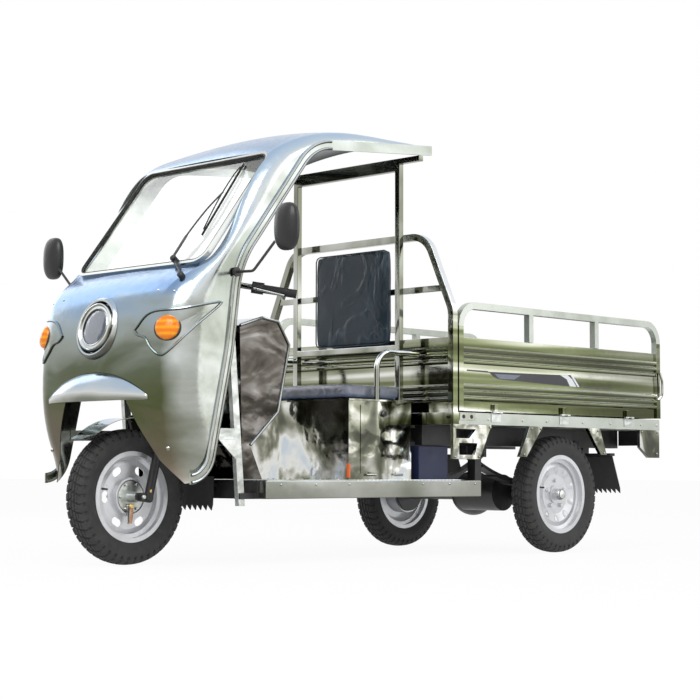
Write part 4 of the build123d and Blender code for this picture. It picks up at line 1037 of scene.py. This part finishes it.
# Films on a side panel: name, look, height over the panel and outline in x and z from the front axle
STRIPES = (
    (
        "body", stripe_dark, 0.0,
        [
            (-1.432, 0.745), (-1.877, 0.751), (-1.977, 0.754), (-2.01, 0.742), (-2.032, 0.721), (-2.054, 0.704),
            (-1.903, 0.707), (-1.494, 0.717), (-1.46, 0.728),
        ],
    ),
    ("line", stripe_grey, 0.0, [(-1.297, 0.749), (-1.427, 0.748), (-1.437, 0.741), (-1.297, 0.743)]),
    ("rear", stripe_grey, 0.0, [(-2.069, 0.708), (-2.279, 0.71), (-2.279, 0.704), (-2.069, 0.701)]),
    ("wedge", stripe_blue, FILM, [(-1.469, 0.738), (-1.638, 0.739), (-1.597, 0.72), (-1.499, 0.719)]),
    (
        "chevron", white_metal, FILM,
        [(-1.904, 0.751), (-1.955, 0.753), (-1.988, 0.736), (-2.017, 0.705), (-1.971, 0.706), (-1.949, 0.735)],
    ),
    ("hook", white_metal, FILM, [(-1.977, 0.753), (-1.995, 0.751), (-2.039, 0.706), (-2.026, 0.705)]),
)


def strip(points, y, mat, name, body):
    """Thin film with walls down to the panel."""
    out = FILM if y > 0 else -FILM
    flat = [Vector((x + AXLE, y, z)) for x, z in points]
    raised = [Vector((p.x, p.y + out, p.z)) for p in flat]
    n = len(flat)
    faces = [tuple(range(n, 2 * n)), *[(k, (k + 1) % n, n + (k + 1) % n, n + k) for k in range(n)]]
    make(name, flat + raised, faces, mat, body, False)


for hand, side in SIDES:
    for name, mat, lift, outline in STRIPES:
        strip(outline, (GATE_Y + lift) * hand, mat, "stripe_" + name + "_" + side, "side_gate_" + side)

# Plate with two studs at the foot of the front post, and the handle at the rear post
plate = block_parts((AXLE - 1.336, 0.5372, 0.545), (AXLE - 1.24, 0.5392, 0.575))
merge("post_plates", both([plate]), chrome)
bolt_row("post_plate_studs", [(x, 0.5392, 0.56) for x in (-1.264, -1.312)], OUT, 0.0085, 0.004, black_plastic, 16)
handle = smooth_path(
    [
        (AXLE - 2.618, 0.5365, 0.668), (AXLE - 2.629, 0.548, 0.69), (AXLE - 2.63, 0.55, 0.745),
        (AXLE - 2.62, 0.544, 0.79),
    ],
    6,
)
handle = [Vector((p.x, min(p.y, 0.549), p.z)) for p in handle]
for hand, side in SIDES:
    piece = tube_parts(handle, 0.0055, 8)
    merge("gate_handle_" + side, [piece if hand > 0 else flipped(piece)], chrome, "side_gate_" + side)

# Fixings along the bed, brackets, sills and floor
RIM_X = (-1.3, -1.42, -1.64, -1.8, -2.05, -2.25, -2.48, -2.6)
bolt_row("rim_bolts", [(x, 0.5365, 0.552) for x in RIM_X], OUT, 0.006, 0.0035, zinc)
BRACKET_XZ = (
    (-1.214, 0.52), (-1.43, 0.52), (-1.214, 0.4), (-1.362, 0.4), (-1.7, 0.52), (-1.76, 0.52), (-1.65, 0.412),
    (-2.1, 0.52), (-2.16, 0.52), (-2.202, 0.424), (-2.49, 0.52), (-2.605, 0.52), (-2.6, 0.424),
)
bolt_row("bracket_bolts", [(x, 0.536, z) for x, z in BRACKET_XZ], OUT, 0.0058, 0.004, chrome)
SILL_X = (-0.42, -0.6, -0.78, -1.2, -1.36, -1.52)
bolt_row("sill_rivets", [(x, 0.38, 0.292) for x in SILL_X], OUT, 0.005, 0.003, chrome, 12)
floor_places = [(-0.8, -0.3 + 0.1 * k, 0.3105) for k in range(7)]
bolt_row("floor_rivets", floor_places, (0, 0, 1), 0.006, 0.003, zinc, 12, False)

# Seat box: hinges along each door's foot, lock escutcheon and the corner film
for hand, side in SIDES:
    body = "box_door_" + side
    pins = []
    for x in (AXLE - 1.09, AXLE - 0.935):
        pins.append(tube_parts([(x - 0.028, 0.3462 * hand, 0.33), (x + 0.028, 0.3462 * hand, 0.33)], 0.003, 10))
    merge("door_hinge_" + side, pins, zinc, body)
    key = lathe_parts(
        [(0.0, 0.014), (0.0016, 0.0138), (0.0016, 0.0112), (0.0098, 0.0106), (0.0108, 0.0092), (0.0108, 0.0)],
        (AXLE - 1.008, 0.3425 * hand, 0.568), (0, hand, 0), 32,
    )
    merge("door_lock_" + side, [key], black_plastic, body)
film = [
    block_parts((AXLE - 0.8145, 0.33, 0.318), (AXLE - 0.8136, 0.34, 0.372)),
    block_parts((AXLE - 0.824, 0.34, 0.318), (AXLE - 0.8145, 0.3408, 0.372)),
]
merge("corner_film", film, orange_film)

# Small lamps and the bare plate under the tail
lamp_side = [(0.0, 0.032), (-0.006, 0.032), (-0.01, 0.026), (-0.011, 0.0)]
lamps = [lathe_parts(lamp_side, (AXLE - 2.624, y, 0.5), (1, 0, 0), 32) for y in (0.36, 0.44)]
holder = [block_parts((AXLE - 2.624, 0.318, 0.462), (AXLE - 2.612, 0.482, 0.5305))]
merge("tail_lamp_boxes", both(holder), black_plastic)
merge("tail_lamps", both(lamps), red_lens)
merge("rear_plate", [block_parts((AXLE - 2.627, -0.11, 0.44), (AXLE - 2.624, 0.11, 0.529))], white_plate)

# Stage
floor_look = Look("floor", Roughness=0.9, Specular_IOR_Level=0.2)
cloud = floor_look.noise(0.6, 3.0)
floor_look.finish(
    Base_Color=floor_look.mix(floor_look.span(cloud, 0.3, 0.7, 0.0, 0.4), (0.94, 0.94, 0.94), (0.92, 0.92, 0.925)),
)


def seen_rays(tree):
    """1 for camera, glossy and transmission rays, so that the stage looks plain and still lights softly."""
    path = tree.nodes.new("ShaderNodeLightPath")
    shown, more = (tree.nodes.new("ShaderNodeMath") for _ in range(2))
    shown.operation = more.operation = "MAXIMUM"
    tree.links.new(path.outputs["Is Glossy Ray"], more.inputs[0])
    tree.links.new(path.outputs["Is Transmission Ray"], more.inputs[1])
    tree.links.new(path.outputs["Is Camera Ray"], shown.inputs[0])
    tree.links.new(more.outputs[0], shown.inputs[1])
    return shown.outputs[0]


def blend_shaders(tree, share, under, over, output):
    """Mix two shaders by a share and send the result to the output's surface."""
    mixed = tree.nodes.new("ShaderNodeMixShader")
    for socket, source in zip(mixed.inputs, (share, under, over)):
        tree.links.new(source, socket)
    tree.links.new(mixed.outputs[0], output.inputs["Surface"])


def glowing(tree, kind, colour, strength=1.0):
    node = tree.nodes.new("ShaderNode" + kind)
    node.inputs["Color"].default_value = (*colour, 1.0)
    node.inputs["Strength"].default_value = strength
    return node.outputs[0]


tree = floor_look.tree
output = next(n for n in tree.nodes if n.type == "OUTPUT_MATERIAL")
share = floor_look.math("MULTIPLY", seen_rays(tree), 0.94)
blend_shaders(tree, share, floor_look.shader.outputs[0], glowing(tree, "Emission", (1, 1, 1)), output)
bpy.ops.mesh.primitive_plane_add(size=120.0, location=(0, 0, 0))
ground = bpy.context.object
ground.name = "studio_floor"
ground.data.materials.append(floor_look.mat)

world = scene.world or bpy.data.worlds.new("studio")
scene.world = world
world.use_nodes = True
tree = world.node_tree
tree.nodes.clear()
soft = glowing(tree, "Background", (0.96, 0.98, 1.0), 0.55)
bright = glowing(tree, "Background", (1, 1, 1))
blend_shaders(tree, seen_rays(tree), soft, bright, tree.nodes.new("ShaderNodeOutputWorld"))


def panel_light(name, place, aim, size, power, tone=(1, 1, 1)):
    lamp_data = bpy.data.lights.new(name, "AREA")
    lamp_data.size, lamp_data.energy, lamp_data.color = size, power, tone
    obj = link(name, lamp_data)
    obj.location = place
    obj.rotation_euler = (Vector(aim) - Vector(place)).to_track_quat("-Z", "Y").to_euler()


panel_light("key", (4.5, 3.0, 5.5), (0.2, 0, 0.7), 4.0, 230.0, (1.0, 0.99, 0.97))
panel_light("fill", (-4.0, 5.5, 3.0), (-0.4, 0, 0.6), 5.0, 90.0)
panel_light("back", (0.5, -6.0, 4.0), (0, 0, 0.7), 5.0, 90.0, (0.97, 0.98, 1.0))

# Camera solved from the photo
SENSOR, FOCAL_PIXELS, PHOTO_WIDTH = 36.0, 1748.32, 700.0
camera_data = bpy.data.cameras.new("camera")
camera_data.sensor_width = SENSOR
camera_data.lens = FOCAL_PIXELS / PHOTO_WIDTH * SENSOR
camera = link("camera", camera_data)
yaw, pitch, roll = radians(224.31), radians(3.99), radians(0.13)
forward = Vector((cos(yaw) * cos(pitch), sin(yaw) * cos(pitch), sin(pitch)))
right = forward.cross(Vector((0, 0, 1))).normalized()
above = right.cross(forward)
turned = (right * cos(roll) + above * sin(roll), above * cos(roll) - right * sin(roll), -forward)
camera.matrix_world = Matrix.Translation(CAMERA) @ Matrix(turned).transposed().to_4x4()
camera_data.clip_start, camera_data.clip_end = 0.1, 200.0
scene.camera = camera
scene.view_settings.view_transform = "Standard"
